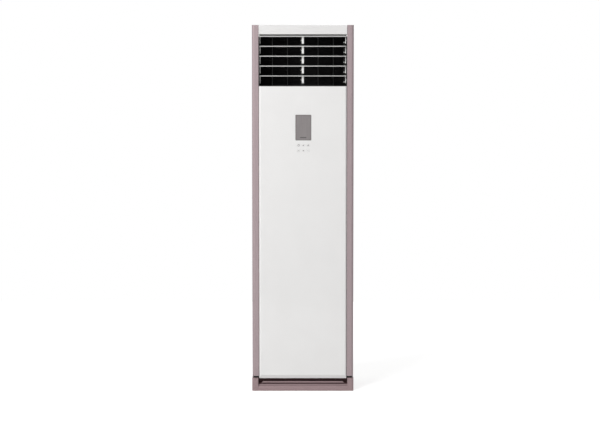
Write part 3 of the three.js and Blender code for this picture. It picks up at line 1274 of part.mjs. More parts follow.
function drainPan() {
  const { floor, front, back, side } = panLimits();
  const w = PAN_WALL;
  const tray = block([-side - w, side + w], [front - w, back + w], [floor - w, floor + PAN_HEIGHT]);
  const hollow = block([-side, side], [front, back], [floor, floor + PAN_HEIGHT + 1]);
  const spout = [-side + SPOUT_FROM_END, (front + back) / 2];
  const outside = rod("z", spout, SPOUT_RADIUS, [floor - w - SPOUT_LENGTH, floor - w / 2], PIN_SIDES);
  const bore = rod("z", spout, SPOUT_BORE, [floor - w - SPOUT_LENGTH - 1, floor + 1], PIN_SIDES);
  add("drain_pan", cut(join([tray, outside]), [hollow, bore]), WHITE_PLASTIC);
}

// The hose runs back from the pan's spout, through the deck's notch and down the rear to the pipe hole.
function drainHose() {
  const { floor, front, back, side } = panLimits();
  const start = floor - PAN_WALL - SPOUT_LENGTH - GAP;
  const [x, y] = [-side + SPOUT_FROM_END, (front + back) / 2];
  const rear = BACK - HOSE_REAR_GAP;
  const low = FOOT + PIPE_HOLE_HEIGHT + HOSE_OVER_HOLE;
  const points = [
    [x, y, start],
    [x, y, start - HOSE_DROP],
    [(x + HOSE_X) / 2, y + HOSE_TURN, start - 2 * HOSE_DROP],
    [HOSE_X, rear - HOSE_TURN, start - 2 * HOSE_DROP - HOSE_TURN / 2],
    [HOSE_X, rear, DECK_Z + HOSE_TURN],
    [HOSE_X, rear, DECK_Z - HOSE_TURN],
    [HOSE_X, rear, low + HOSE_TURN],
    [HOSE_X, rear, low],
  ];
  add("drain_hose", tube(points, HOSE_RADIUS, HOSE_BORE, HOSE_SIDES, HOSE_STEPS), GREY_PLASTIC);
}

// A copper pipe from between two bends of the coil's left end, back and down to a flare nut over the hole.
function copperPipe(name, radius, bends, runX) {
  const up = (COIL_LENGTH * bends) / BEND_COUNT;
  const startY = COIL_FOOT_Y + up * Math.sin(COIL_TILT);
  const startZ = COIL_Z + up * Math.cos(COIL_TILT);
  const plateX = -(COIL_WIDTH / 2 + COIL_PLATE + 2 * GAP);
  const low = FOOT + PIPE_HOLE_HEIGHT + PIPE_OVER_HOLE;
  const points = [
    [plateX, startY, startZ],
    [plateX - PIPE_OUT, startY, startZ],
    [plateX - PIPE_OUT, startY + PIPE_BACK, startZ - PIPE_FALL],
    [(plateX - PIPE_OUT + runX) / 2, (startY + PIPE_Y) / 2 + PIPE_BOW, startZ - PIPE_SLOPE],
    [runX, PIPE_Y, startZ - 2 * PIPE_SLOPE],
    [runX, PIPE_Y, DECK_Z + PIPE_BEND],
    [runX, PIPE_Y, DECK_Z - PIPE_BEND],
    [runX, PIPE_Y, low],
  ];
  const pipe = tube(points, radius, 0, PIPE_SIDES, PIPE_STEPS);
  const nut = rod("z", [runX, PIPE_Y], radius * NUT_SCALE, [low - NUT_LENGTH, low + 2], 6);
  const mouth = rod("z", [runX, PIPE_Y], radius - PIPE_WALL, [low - NUT_LENGTH - 1, low - 4], PIPE_SIDES);
  add(name, cut(join([pipe, nut]), [mouth]), COPPER);
}

// The insulated liner that closes the air path between the drain pan and the outlet.
function frontLiner() {
  const { floor } = panLimits();
  const half = FRAME_SIDE - LINER_GAP;
  const y0 = PANEL_BACK + LINER_GAP;
  const [z0, z1] = [floor + PAN_HEIGHT + LINER_GAP, FRAME_FOOT - GAP];
  const sheet = block([-half, half], [y0, y0 + LINER_SHEET], [z0, z1]);
  const flanges = [-1, 1].map((side) =>
    block([side * half, side * (half - LINER_SHEET)], [y0, y0 + LINER_FLANGE], [z0, z1]),
  );
  const ribs = Array.from({ length: LINER_RIBS }, (_, i) => {
    const z = z0 + ((z1 - z0) * (i + 1)) / (LINER_RIBS + 1);
    const zs = [z - LINER_RIB_HEIGHT / 2, z + LINER_RIB_HEIGHT / 2];
    return block([-half + 1, half - 1], [y0 + LINER_SHEET - 1, y0 + LINER_SHEET + LINER_RIB], zs);
  });
  add("front_liner", join([sheet, ...flanges, ...ribs]), FOAM);
}

// ---- Control box --------------------------------------------------------------------------------

const BOX_Z = DECK_Z + BOX_OVER_DECK;
const BOX_FRONT = PANEL_BACK + BASE_INSET;
const BOX_BACK = BOX_FRONT + BOX_DEPTH;

function controlBox() {
  const half = BOX_WIDTH / 2;
  const t = BOX_SHEET;
  const top = BOX_Z + BOX_HEIGHT;
  const shell = block([-half, half], [BOX_FRONT, BOX_BACK], [BOX_Z, top]);
  const hollow = block([-half + t, half - t], [BOX_FRONT - 1, BOX_BACK - t], [BOX_Z + t, top - t]);
  const legOutside = half - BOX_LEG_INSET;
  const legZs = [DECK_Z + DECK_SHEET + GAP, BOX_Z + t];
  const legYs = [BOX_FRONT, BOX_BACK];
  const leg = (side) => block([side * legOutside, side * (legOutside - BOX_LEG)], legYs, legZs);
  const legs = [-1, 1].map(leg);
  add("control_box", join([shell.subtract(hollow), ...legs]), ZINC_STEEL);
  const coverBack = BOX_FRONT - GAP;
  const cover = block([-half, half], [coverBack - t, coverBack], [BOX_Z, top]);
  const emboss = block(
    [-half + BOX_EMBOSS, half - BOX_EMBOSS],
    [coverBack - t - 1, coverBack - t / 2],
    [BOX_Z + BOX_EMBOSS, top - BOX_EMBOSS],
  );
  add("control_box_cover", cover.add(emboss), ZINC_STEEL);
}

function electrics() {
  const t = BOX_SHEET;
  const boardBack = BOX_BACK - t - GAP - BOARD_STANDOFF;
  const boardFace = boardBack - BOARD_THICKNESS;
  const left = -BOX_WIDTH / 2 + t + BOX_CLEARANCE;
  const low = BOX_Z + t + BOX_CLEARANCE;
  const board = block([left, left + BOARD_WIDTH], [boardFace, boardBack], [low, low + BOARD_HEIGHT]);
  const feet = [BOARD_FOOT_INSET, BOARD_WIDTH - BOARD_FOOT_INSET].flatMap((x) =>
    [BOARD_FOOT_INSET, BOARD_HEIGHT - BOARD_FOOT_INSET].map((z) =>
      rod("y", [left + x, low + z], BOARD_FOOT, [boardBack - 0.5, boardBack + BOARD_STANDOFF]),
    ),
  );
  // Parts on the board as left, right, low, high and rise, in steps of its grid.
  const parts = [
    [4, 12, 5, 12, 4.4],
    [15, 20, 4, 10, 2.8],
    [24, 34, 6, 14, 1.6],
    [6, 12, 16, 22, 2.4],
    [18, 26, 17, 23, 3.6],
    [29, 32, 18, 21, 4],
  ].map((steps) => {
    const [x0, x1, z0, z1, rise] = steps.map((step) => step * BOARD_GRID);
    return block([left + x0, left + x1], [boardFace - rise, boardFace + 0.5], [low + z0, low + z1]);
  });
  add("main_board", join([board, ...feet, ...parts]), BOARD_GREEN);

  const rear = BOX_BACK - t - GAP;
  const right = BOX_WIDTH / 2 - t - BOX_CLEARANCE;
  const width = TERMINAL_WAYS * TERMINAL_PITCH;
  const face = rear - TERMINAL_DEPTH;
  const terminalTop = low + TERMINAL_HEIGHT;
  const terminal = block([right - width, right], [face, rear], [low, terminalTop]);
  const wellHalf = (TERMINAL_PITCH - TERMINAL_WALL) / 2;
  const wells = Array.from({ length: TERMINAL_WAYS }, (_, i) => {
    const x = right - (i + 0.5) * TERMINAL_PITCH;
    const zs = [low + TERMINAL_WALL, terminalTop - TERMINAL_WALL];
    return block([x - wellHalf, x + wellHalf], [face - 1, face + TERMINAL_WELL], zs);
  });
  add("terminal_block", cut(terminal, wells), BLACK_PLASTIC);

  const x = right - width / 2;
  const z = terminalTop + CAPACITOR_OVER_TERMINAL;
  const span = [x - CAPACITOR_LENGTH / 2, x + CAPACITOR_LENGTH / 2];
  const can = rod("x", [rear - CAPACITOR_RADIUS - 1, z], CAPACITOR_RADIUS, span, ROUND_SIDES);
  const clip = block(
    [x - CAPACITOR_CLIP, x + CAPACITOR_CLIP],
    [rear - CAPACITOR_CLIP_SHEET, rear],
    [z - CAPACITOR_CLIP_REACH, z + CAPACITOR_CLIP_REACH],
  );
  add("fan_capacitor", join([can, clip]), GREY_PLASTIC);
}

// ---- The whole unit -----------------------------------------------------------------------------

plinth();
basePlate();
topCap();
topCover();
rearPanel();
rearLiner();
wallBracket();
frontPanel();
displayWindow();
displayBoard();
keyPlaces().forEach(([x, z], i) => key(`key_${i + 1}`, x, z));
for (const [word, side] of [
  ["left", -1],
  ["right", 1],
]) {
  column(`column_${word}`, side);
  sidePanel(`side_panel_${word}`, side);
  intakeGrille(`intake_grille_${word}`, side);
  filter(`filter_${word}`, side);
  coilEnd(`evaporator_end_${word}`, side);
}
outlet();
voluteCasing();
voluteFront();
fanWheel();
fanDrive();
deckPlate();
coil();
drainPan();
drainHose();
copperPipe("gas_pipe", GAS_PIPE_RADIUS, 1, GAS_PIPE_X);
copperPipe("liquid_pipe", LIQUID_PIPE_RADIUS, 2, LIQUID_PIPE_X);
frontLiner();
controlBox();
electrics();

export default group;
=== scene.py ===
"""Fine shapes and finishes of a floor standing air conditioner, over its engineering model, in metres."""

import json
import math

import bmesh
import bpy
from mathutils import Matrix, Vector


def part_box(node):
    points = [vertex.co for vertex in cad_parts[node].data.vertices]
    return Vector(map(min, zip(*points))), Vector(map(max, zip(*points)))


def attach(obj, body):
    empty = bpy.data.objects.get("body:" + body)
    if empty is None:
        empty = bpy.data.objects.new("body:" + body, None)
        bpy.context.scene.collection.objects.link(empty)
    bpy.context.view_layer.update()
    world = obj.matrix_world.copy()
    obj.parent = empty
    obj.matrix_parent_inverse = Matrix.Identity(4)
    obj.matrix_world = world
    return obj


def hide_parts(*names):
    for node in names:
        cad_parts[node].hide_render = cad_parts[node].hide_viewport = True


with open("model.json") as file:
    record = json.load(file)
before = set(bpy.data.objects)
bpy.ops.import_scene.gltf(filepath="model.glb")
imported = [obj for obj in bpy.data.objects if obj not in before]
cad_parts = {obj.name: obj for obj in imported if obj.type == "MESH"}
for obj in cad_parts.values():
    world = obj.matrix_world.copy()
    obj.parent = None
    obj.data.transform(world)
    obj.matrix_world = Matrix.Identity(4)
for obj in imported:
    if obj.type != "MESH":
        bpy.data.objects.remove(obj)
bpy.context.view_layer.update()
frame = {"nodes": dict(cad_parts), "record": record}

bl_info = {
    "name": "Floor Standing Air Conditioner",
    "version": (1, 0, 0),
    "blender": (4, 5, 0),
    "location": "3D View > Sidebar > Air Unit",
    "description": "Builds the cabinet, outlet, grilles and finishes of a floor standing air conditioner",
    "category": "Object",
}

MM = 0.001
SIDES = {"left": -1, "right": 1}
PLACE = {
    "x": lambda u, v, depth: (depth, u, v),
    "y": lambda u, v, depth: (u, depth, v),
    "z": lambda u, v, depth: (u, v, depth),
}

# The finish of each material slot, made by the operator of the finishes
FINISHES = {}

# Half the width and height of a key's cap, its gap in the panel and its flange behind it, in millimetres
KEY_CAP = (6.5, 4.5)
KEY_GAP = 0.5
KEY_FLANGE = 2

# The marks on the keys are drawn at half their size, with this soft edge in metres
MARK_SCALE = 2.0
MARK_SOFT = 0.0002


def corners(node):
    """The lowest and highest corners of an engineering node, in millimetres."""
    return [Vector(corner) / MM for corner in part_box(node)]


# ---- Sizes and colours a user would change ----


def linear(code):
    """A hex colour as linear red, green and blue."""
    parts = [int(code[i : i + 2], 16) / 255 for i in (1, 3, 5)]
    return tuple(p / 12.92 if p <= 0.04045 else ((p + 0.055) / 1.055) ** 2.4 for p in parts)


def length(name, description, size_mm):
    """A length property, given in millimetres and kept in metres."""
    return bpy.props.FloatProperty(
        name=name, description=description, default=size_mm * MM, min=0.0, unit="LENGTH", subtype="DISTANCE"
    )


def colour(name, description, code):
    """A colour property from a hex code."""
    return bpy.props.FloatVectorProperty(
        name=name, description=description, default=linear(code), min=0.0, max=1.0, size=3, subtype="COLOR"
    )


class CabinetSizes(bpy.types.PropertyGroup):
    """Sizes of the cabinet's shell."""

    column_radius: length("Column Radius", "Outer front edge of each column", 12)
    panel_round: length("Panel Edge", "Rounded edge of the front panel", 10)
    sheet_edge: length("Sheet Edge", "Rounding of cut sheet edges", 0.5)
    fold_radius: length("Fold Radius", "Outside radius of folds in sheet", 2.6)
    cap_radius: length("Cap Radius", "Upper front edge of the top cap", 9)
    screw_pitch: length("Screw Pitch", "Distance between the screws on the rear edges", 272)


class OutletSizes(bpy.types.PropertyGroup):
    """Sizes of the blades in the outlet and the slats of the intakes."""

    blade_thickness: length("Blade Thickness", "Thickest part of a louvre blade", 3.8)
    blade_camber: length("Blade Camber", "Rise of a louvre blade across its width", 1)
    lug_width: length("Lug Width", "Width of the middle lug of a blade", 10.2)
    slat_thickness: length("Slat Thickness", "Thickness of a slat of the intake grilles", 2)
    slat_count: bpy.props.IntProperty(
        name="Slats", description="Slats in each intake grille", default=17, min=3
    )


class UnitColours(bpy.types.PropertyGroup):
    """Colours of the finishes."""

    rose: colour("Rose Metallic", "Columns", "#a49497")
    sill: colour("Plinth Metallic", "Plinth with its sill", "#9a8587")
    white: colour("Gloss White", "Front panel, keys and top cap", "#eeedec")
    sheet: colour("Coated Sheet", "Side panels, lid and rear panel", "#e4e1dc")
    blade: colour("Blade White", "Louvre blades", "#f0f0ee")
    black: colour("Black Plastic", "Outlet frame and vanes", "#101011")
    window: colour("Smoked Window", "Display window", "#837d7d")


class AirUnitSettings(bpy.types.PropertyGroup):
    """All settings of the air conditioner."""

    cabinet: bpy.props.PointerProperty(type=CabinetSizes, name="Cabinet", description="Sizes of the shell")
    outlet: bpy.props.PointerProperty(type=OutletSizes, name="Outlet", description="Sizes of the outlet")
    colours: bpy.props.PointerProperty(type=UnitColours, name="Colours", description="Colours of finishes")


# ---- Node trees ----


class Term:
    """An output socket that takes part in sums, each of which adds a Math node."""

    def __init__(self, nodes, socket):
        self.nodes = nodes
        self.socket = socket

    def _sum(self, operation, *terms):
        return self.nodes.add("ShaderNodeMath", dict(enumerate(terms)), operation=operation)

    def __add__(self, other):
        return self._sum("ADD", self, other)

    __radd__ = __add__

    def __sub__(self, other):
        return self._sum("SUBTRACT", self, other)

    def __rsub__(self, other):
        return self._sum("SUBTRACT", other, self)

    def __mul__(self, other):
        return self._sum("MULTIPLY", self, other)

    __rmul__ = __mul__

    def __truediv__(self, other):
        return self._sum("DIVIDE", self, other)

    def __rtruediv__(self, other):
        return self._sum("DIVIDE", other, self)

    def __pow__(self, power):
        return self._sum("POWER", self, power)

    def __abs__(self):
        return self._sum("ABSOLUTE", self)

    def most(self, other):
        """The larger of two values."""
        return self._sum("MAXIMUM", self, other)

    def waves(self, step):
        """Rises from 0 to 1 and falls again, each over a step."""
        return self._sum("PINGPONG", self, step) / step

    def above(self, edge, soft):
        """1 above an edge and 0 below it, over a soft width."""
        limits = {0: self, 1: edge - soft / 2, 2: edge + soft / 2}
        return self.nodes.add("ShaderNodeMapRange", limits, interpolation_type="SMOOTHSTEP")

    def below(self, edge, soft):
        """1 below an edge and 0 above it, over a soft width."""
        return 1 - self.above(edge, soft)


class Nodes:
    """Adds nodes to a tree."""

    def __init__(self, tree):
        self.tree = tree

    def add(self, kind, inputs=None, out=0, **settings):
        """Adds a node: its settings, then the values or links of its sockets. Returns one of its outputs."""
        node = self.tree.nodes.new(kind)
        for key, value in settings.items():
            setattr(node, key, value)
        for key, value in (inputs or {}).items():
            if isinstance(value, Term):
                self.tree.links.new(value.socket, node.inputs[key])
            elif node.inputs[key].type == "RGBA":
                node.inputs[key].default_value = (*value, 1)
            else:
                node.inputs[key].default_value = value
        return Term(self, node.outputs[out]) if len(node.outputs) else None


class Finish(Nodes):
    """A procedural material on object coordinates in metres."""

    def __init__(self, name, centre=(0, 0, 0)):
        self.material = bpy.data.materials.new(name)
        self.material.use_nodes = True
        super().__init__(self.material.node_tree)
        self.tree.nodes.clear()
        place = self.add("ShaderNodeTexCoord", out="Object")
        self.at = self.add("ShaderNodeMapping", {"Vector": place, "Location": [-c for c in centre]})

    def axes(self):
        """The three coordinates, in metres from the centre."""
        split = self.add("ShaderNodeSeparateXYZ", {0: self.at}).socket.node
        return [Term(self, split.outputs[i]) for i in range(3)]

    def noise(self, scale, detail=2.0, rough=0.5, stretch=None):
        """Noise from 0 to 1, with so many features a metre."""
        at = self.at
        if stretch:
            at = self.add("ShaderNodeMapping", {"Vector": self.at, "Scale": stretch})
        inputs = {"Vector": at, "Scale": scale, "Detail": detail, "Roughness": rough}
        return self.add("ShaderNodeTexNoise", inputs)

    def cells(self, scale, out="Distance", feature="F1"):
        """A cell pattern with so many cells a metre."""
        return self.add("ShaderNodeTexVoronoi", {"Vector": self.at, "Scale": scale}, out, feature=feature)

    def blend(self, share, first, second):
        """A mix of two colours."""
        return self.add("ShaderNodeMix", {0: share, 6: first, 7: second}, 2, data_type="RGBA")

    def bump(self, height, strength, distance):
        """A normal from a height."""
        return self.add("ShaderNodeBump", {"Height": height, "Strength": strength, "Distance": distance})

    def surface(self, **sockets):
        """Ends the material in the main shader and returns the material."""
        inputs = {key.replace("_", " "): value for key, value in sockets.items()}
        shader = self.add("ShaderNodeBsdfPrincipled", inputs)
        self.add("ShaderNodeOutputMaterial", {"Surface": shader})
        return self.material


def shade(tone, factor):
    """A colour made lighter or darker."""
    return tuple(min(1.0, c * factor) for c in tone)


# ---- Finishes ----


def rose_metallic(tone, name="rose_metallic_paint", slot=None):
    """Sprayed metallic paint with fine flake, with painted shade that darkens a slot given by its half
    length, depths and foot.
    """
    f = Finish(name)
    flake = f.noise(1400, 1.0, 0.6)
    cloud = f.noise(170, 3.0, 0.6)
    grain = flake * 0.75 + cloud * 0.25
    paint = f.blend(grain.above(0.5, 0.34), shade(tone, 0.9), shade(tone, 1.1))
    if slot:
        half, near, far, foot = slot
        x, y, z = f.axes()
        slot_shade = abs(x).below(half, 0.001) * y.above(near, 0.002) * y.below(far, 0.002) * z.above(foot, 0.003)
        # Painted shade: inside the slot the paint turns dark wine, as if in shadow
        paint = f.blend(slot_shade, paint, linear("#4a2f31"))
    return f.surface(
        Base_Color=paint,
        Metallic=0.25,
        Roughness=0.42 + flake * 0.16,
        Specular_IOR_Level=0.25,
        Normal=f.bump(flake, 0.06, 0.0003),
    )


def gloss_white(tone, name="gloss_white_panel"):
    """Moulded white with a hard gloss and the faint waviness of a large moulding."""
    f = Finish(name)
    wave = f.noise(9, 1.0, 0.4)
    speck = f.noise(900, 1.0)
    return f.surface(
        Base_Color=f.blend(wave.above(0.5, 0.5), shade(tone, 0.985), tone),
        Roughness=0.13 + speck * 0.05,
        Coat_Weight=0.6,
        Coat_Roughness=0.04,
        Normal=f.bump(wave * 0.9 + speck * 0.02, 0.05, 0.0006),
    )


def coated_sheet(tone):
    """Powder coat on steel sheet, with its fine orange peel."""
    f = Finish("powder_coated_sheet")
    peel = f.noise(520)
    cloud = f.noise(14)
    return f.surface(
        Base_Color=f.blend(cloud.above(0.5, 0.5), shade(tone, 0.975), tone),
        Roughness=0.36 + peel * 0.14,
        Normal=f.bump(peel, 0.16, 0.0004),
        Specular_IOR_Level=0.45,
    )


def zinc_sheet():
    """Galvanised sheet with its spangle."""
    f = Finish("galvanised_sheet")
    grain = f.add("ShaderNodeSeparateColor", {0: f.cells(70, "Color")})
    fine = f.noise(600, 2.0, 0.6, (1, 1, 0.2))
    tone = linear("#b6babc")
    return f.surface(
        Base_Color=f.blend(grain, shade(tone, 0.84), shade(tone, 1.08)),
        Metallic=1.0,
        Roughness=0.3 + grain * 0.14 + fine * 0.06,
        Normal=f.bump(fine, 0.05, 0.0003),
    )


def grained_plastic(name, tone, roughness=0.5, scale=1100, strength=0.2, clouds=0.06):
    """Moulded plastic with a spark-eroded grain."""
    f = Finish(name)
    grain = f.noise(scale, 2.0, 0.55)
    cloud = f.noise(30)
    return f.surface(
        Base_Color=f.blend(cloud.above(0.5, 0.4), shade(tone, 1 - clouds), shade(tone, 1 + clouds)),
        Roughness=roughness - 0.05 + grain * 0.1,
        Normal=f.bump(grain, strength, 0.0003),
    )


def outlet_moulding(tone, edge, lip):
    """Black moulding of the outlet with a pale band along its upper edge."""
    f = Finish("outlet_moulding")
    _, _, z = f.axes()
    grain = f.noise(1100, 2.0, 0.55)
    cloud = f.noise(30)
    black = f.blend(cloud.above(0.5, 0.4), shade(tone, 0.92), shade(tone, 1.05))
    return f.surface(
        Base_Color=f.blend(z.above(edge, 0.0004), black, lip),
        Roughness=0.45 + grain * 0.1,
        Normal=f.bump(grain, 0.2, 0.0003),
    )


def smoked_window(tone, centre, half_width, half_height):
    """Tinted window with a darker printed border and a dark receiver eye at its foot."""
    border, eye_x, eye_rise, eye_width, eye_height = 0.0042, -0.0005, 0.0135, 0.03, 0.0052
    f = Finish("smoked_window", centre)
    x, _, z = f.axes()
    inner = abs(x).below(half_width - border, 0.0006) * abs(z).below(half_height - border, 0.0006)
    streak = f.noise(140, stretch=(1, 1, 0.1))
    field = f.blend(streak.above(0.5, 0.5), shade(tone, 0.96), shade(tone, 1.05))
    eye = abs(x - eye_x).below(eye_width / 2, 0.001)
    eye *= abs(z + half_height - eye_rise).below(eye_height / 2, 0.0008)
    printed = f.blend(inner, shade(tone, 0.8), field)
    return f.surface(
        Base_Color=f.blend(eye, printed, shade(tone, 0.42)),
        Roughness=0.12 + streak * 0.03,
        Coat_Weight=0.5,
        Coat_Roughness=0.03,
    )


def key_mark(mark, x, z):
    """1 on the printed mark of a key and 0 round it."""

    def within(value, edge):
        return value.below(edge, MARK_SOFT)

    if mark == "ring":
        return within(abs((x * x + z * z) ** 0.5 - 0.0019), 0.00035)
    if mark == "bar":
        return within(abs(x), 0.0022) * within(abs(z), 0.0004)
    if mark == "up":
        return within(abs(x) + z, 0.0013) * z.above(-0.001, MARK_SOFT)
    if mark == "down":
        return within(abs(x) - z, 0.0013) * within(z, 0.001)
    if mark == "cross":
        return (within(abs(x), 0.0004) + within(abs(z), 0.0004)) * within(abs(x) + abs(z), 0.0024)
    return within(abs(abs(x) - 0.0015), 0.0005) * within(abs(z), 0.0005)


def key_finish(tone, centre, mark):
    """Key cap with a small printed mark: ring, bar, arrow, cross or dots."""
    f = Finish("key_finish_" + mark, centre)
    x, _, z = [axis / MARK_SCALE for axis in f.axes()]
    speck = f.noise(900, 1.0)
    return f.surface(
        Base_Color=f.blend(key_mark(mark, x, z), tone, linear("#747272")),
        Roughness=0.2 + speck * 0.05,
        Coat_Weight=0.3,
        Coat_Roughness=0.08,
    )


def fin_stack():
    """Pressed aluminium fins seen edge on, two millimetres apart, with painted shade in the gaps between
    them.
    """
    f = Finish("aluminium_fins")
    x, _, _ = f.axes()
    fin = x.waves(0.001)
    fine = f.noise(400)
    tone = linear("#c9ccce")
    return f.surface(
        # Painted shade: the gaps between the fins are darkened as if the inside of the coil were in shadow
        Base_Color=f.blend(fin.above(0.35, 0.4), shade(tone, 0.3), tone),
        Metallic=0.9,
        Roughness=0.32 + fine * 0.12,
        Normal=f.bump(fin, 0.4, 0.001),
    )


def copper_tube():
    """Drawn copper with light tarnish."""
    f = Finish("drawn_copper")
    tarnish = f.noise(45, 4.0, 0.6)
    drawn = f.noise(500, stretch=(1, 1, 0.1))
    tone = linear("#b87348")
    return f.surface(
        Base_Color=f.blend(tarnish.above(0.52, 0.3), tone, shade(tone, 0.62)),
        Metallic=0.95,
        Roughness=0.26 + tarnish * 0.2,
        Normal=f.bump(drawn, 0.05, 0.0002),
    )


def circuit_board():
    """Green solder mask over copper tracks."""
    f = Finish("circuit_board")
    track = f.cells(180, feature="DISTANCE_TO_EDGE")
    pad = f.cells(420)
    tone = linear("#1f5a3a")
    masked = f.blend(track.below(0.06, 0.04), tone, shade(tone, 1.7))
    return f.surface(
        Base_Color=f.blend(pad.below(0.16, 0.05), masked, linear("#b9b7a8")),
        Roughness=0.35 + pad * 0.2,
        Normal=f.bump(track, 0.1, 0.0003),
    )


def cell_foam():
    """Closed-cell insulating foam."""
    f = Finish("insulating_foam")
    cell = f.cells(420)
    tone = linear("#1c1c1d")
    return f.surface(
        Base_Color=f.blend(cell.above(0.45, 0.4), shade(tone, 1.15), shade(tone, 0.6)),
        Roughness=0.88 + cell * 0.1,
        Normal=f.bump(cell, 0.5, 0.0012),
    )


def filter_net():
    """Woven filter net in a moulded frame, a millimetre and a half between its threads, with painted shade
    in the openings between them.
    """
    f = Finish("filter_net")
    _, y, z = f.axes()
    half_pitch = 0.00075
    thread = y.waves(half_pitch).most(z.waves(half_pitch))
    tone = linear("#4b5560")
    return f.surface(
        # Painted shade: the openings between the threads are darkened as if seen through into shadow
        Base_Color=f.blend(thread.above(0.7, 0.3), shade(tone, 0.35), shade(tone, 1.2)),
        Roughness=0.7 + thread * 0.1,
        Normal=f.bump(thread, 0.4, 0.0004),
    )


def carried_finishes(colours):
    """The finish of each material slot of the engineering record, by slot."""
    return {
        "rose_metallic": rose_metallic(tuple(colours.rose)),
        "gloss_white": gloss_white(tuple(colours.white)),
        "coated_steel": coated_sheet(tuple(colours.sheet)),
        "zinc_steel": zinc_sheet(),
        "black_plastic": grained_plastic("black_moulding", tuple(colours.black)),
        "blade_white": grained_plastic("blade_moulding", tuple(colours.blade), 0.36, 900, 0.06, 0.01),
        "white_plastic": grained_plastic("white_moulding", linear("#e6e4df"), 0.45, 800, 0.1, 0.02),
        "grey_plastic": grained_plastic("grey_moulding", linear("#8d9092"), 0.55),
        "aluminium_fins": fin_stack(),
        "copper": copper_tube(),
        "board_green": circuit_board(),
        "foam": cell_foam(),
        "filter_net": filter_net(),
        # The base plate is coated dark as painted shade, so the seam between the plinth and the panels reads
        # dark
        "dark_steel": grained_plastic("dark_coat", linear("#262424"), 0.6, 700, 0.1),
    }


# ---- Outlines and solids, in millimetres ----


def arc(centre, radius, start, end, steps):
    """Points on an arc, angles in degrees."""
    turns = (math.radians(start + (end - start) * i / steps) for i in range(steps + 1))
    return [(centre[0] + radius * math.cos(t), centre[1] + radius * math.sin(t)) for t in turns]


def round_box(u0, u1, v0, v1, radius, steps=8):
    """A rectangle with round corners, as a function of how far it is drawn in."""

    def outline(inset=0.0):
        r = max(radius - inset, 0.01)
        a, b, c, d = u0 + inset + r, u1 - inset - r, v0 + inset + r, v1 - inset - r
        points = arc((b, c), r, -90, 0, steps) + arc((b, d), r, 0, 90, steps)
        return points + arc((a, d), r, 90, 180, steps) + arc((a, c), r, 180, 270, steps)

    return outline


def disc(u, v, radius, steps):
    """A circle as a function of how far it is drawn in."""
    return lambda inset=0.0: arc((u, v), radius - inset, 0, 360 - 360 / steps, steps - 1)


def roll(radius, steps=5):
    """Inset and depth along a rolled edge, from the face down to the side."""
    if not radius:
        return [(0.0, 0.0)]
    turns = [math.radians(90 * i / steps) for i in range(steps + 1)]
    return [(radius * (1 - math.sin(t)), radius * (1 - math.cos(t))) for t in turns]


def bridge(bm, rings):
    """Quads between successive rings of equal length."""
    for first, second in zip(rings, rings[1:]):
        for i, corner in enumerate(first):
            j = (i + 1) % len(first)
            bm.faces.new((corner, first[j], second[j], second[i]))


def cover(bm, *rings):
    """Fills the flat region inside the first ring and outside the others."""
    if len(rings) == 1:
        bm.faces.new(rings[0])
        return
    pairs = [(ring[i - 1], ring[i]) for ring in rings for i in range(len(ring))]
    edges = [bm.edges.get(pair) or bm.edges.new(pair) for pair in pairs]
    bmesh.ops.triangle_fill(bm, use_beauty=True, use_dissolve=False, edges=edges)


def slab(axis, near, far, outer, holes=(), edge=0.0, hole_edge=0.0, far_edge=0.0, pockets=(), rim=True):
    """A sheet between two planes with rolled edges round its outline and holes, and with pressed pockets."""
    bm = bmesh.new()
    put = PLACE[axis]
    way = 1 if far > near else -1
    thick = abs(far - near)

    def draw(outline, start, stations):
        """Rings of points at insets and depths from a plane."""
        drawn = [(outline(inset), start + way * depth) for inset, depth in stations]
        return [[bm.verts.new(put(u, v, place)) for u, v in points] for points, place in drawn]

    near_rings, far_rings = [], []
    loops = [(outer, edge, far_edge, 1)] + [(hole, hole_edge, hole_edge, -1) for hole in holes]
    for outline, front_roll, back_roll, sign in loops:
        stations = roll(front_roll) + [(inset, thick - depth) for inset, depth in reversed(roll(back_roll))]
        rings = draw(outline, near, [(sign * inset, depth) for inset, depth in stations])
        if rim or sign < 0:
            bridge(bm, rings)
        near_rings.append(rings[0])
        far_rings.append(rings[-1])
    for outline, depth, slope in pockets:
        for start, side_rings, grow in ((near, near_rings, 0.0), (far, far_rings, -thick * 0.4)):
            shares = ((0, 0), (0.25, 0.12), (0.75, 0.88), (1, 1))
            rings = draw(outline, start, [(slope * along + grow, depth * down) for along, down in shares])
            bridge(bm, rings)
            cover(bm, rings[-1])
            side_rings.append(rings[0])
    cover(bm, *near_rings)
    cover(bm, *far_rings)
    return bm


def prism(axis, outline, start, end):
    """An outline extruded along an axis."""
    bm = bmesh.new()
    rings = [[bm.verts.new(PLACE[axis](u, v, depth)) for u, v in outline] for depth in (start, end)]
    bridge(bm, rings)
    for ring in rings:
        cover(bm, ring)
    return bm


def block(xs, ys, zs):
    """A box between two limits on each axis."""
    outline = [(ys[0], zs[0]), (ys[1], zs[0]), (ys[1], zs[1]), (ys[0], zs[1])]
    return prism("x", outline, *xs)


def rod(axis, centre, radius, start, end, steps=24):
    """A round bar."""
    return prism(axis, disc(*centre, radius, steps)(), start, end)


# ---- Objects ----


def plain_mesh(name, bm):
    """A mesh in metres with merged points and faces turned outwards."""
    bmesh.ops.remove_doubles(bm, verts=bm.verts, dist=1e-4)
    bmesh.ops.recalc_face_normals(bm, faces=bm.faces)
    bmesh.ops.scale(bm, vec=(MM, MM, MM), verts=bm.verts)
    mesh = bpy.data.meshes.new(name)
    bm.to_mesh(mesh)
    bm.free()
    return mesh


def new_object(name, data):
    """A new object in the scene."""
    thing = bpy.data.objects.new(name, data)
    bpy.context.scene.collection.objects.link(thing)
    return thing


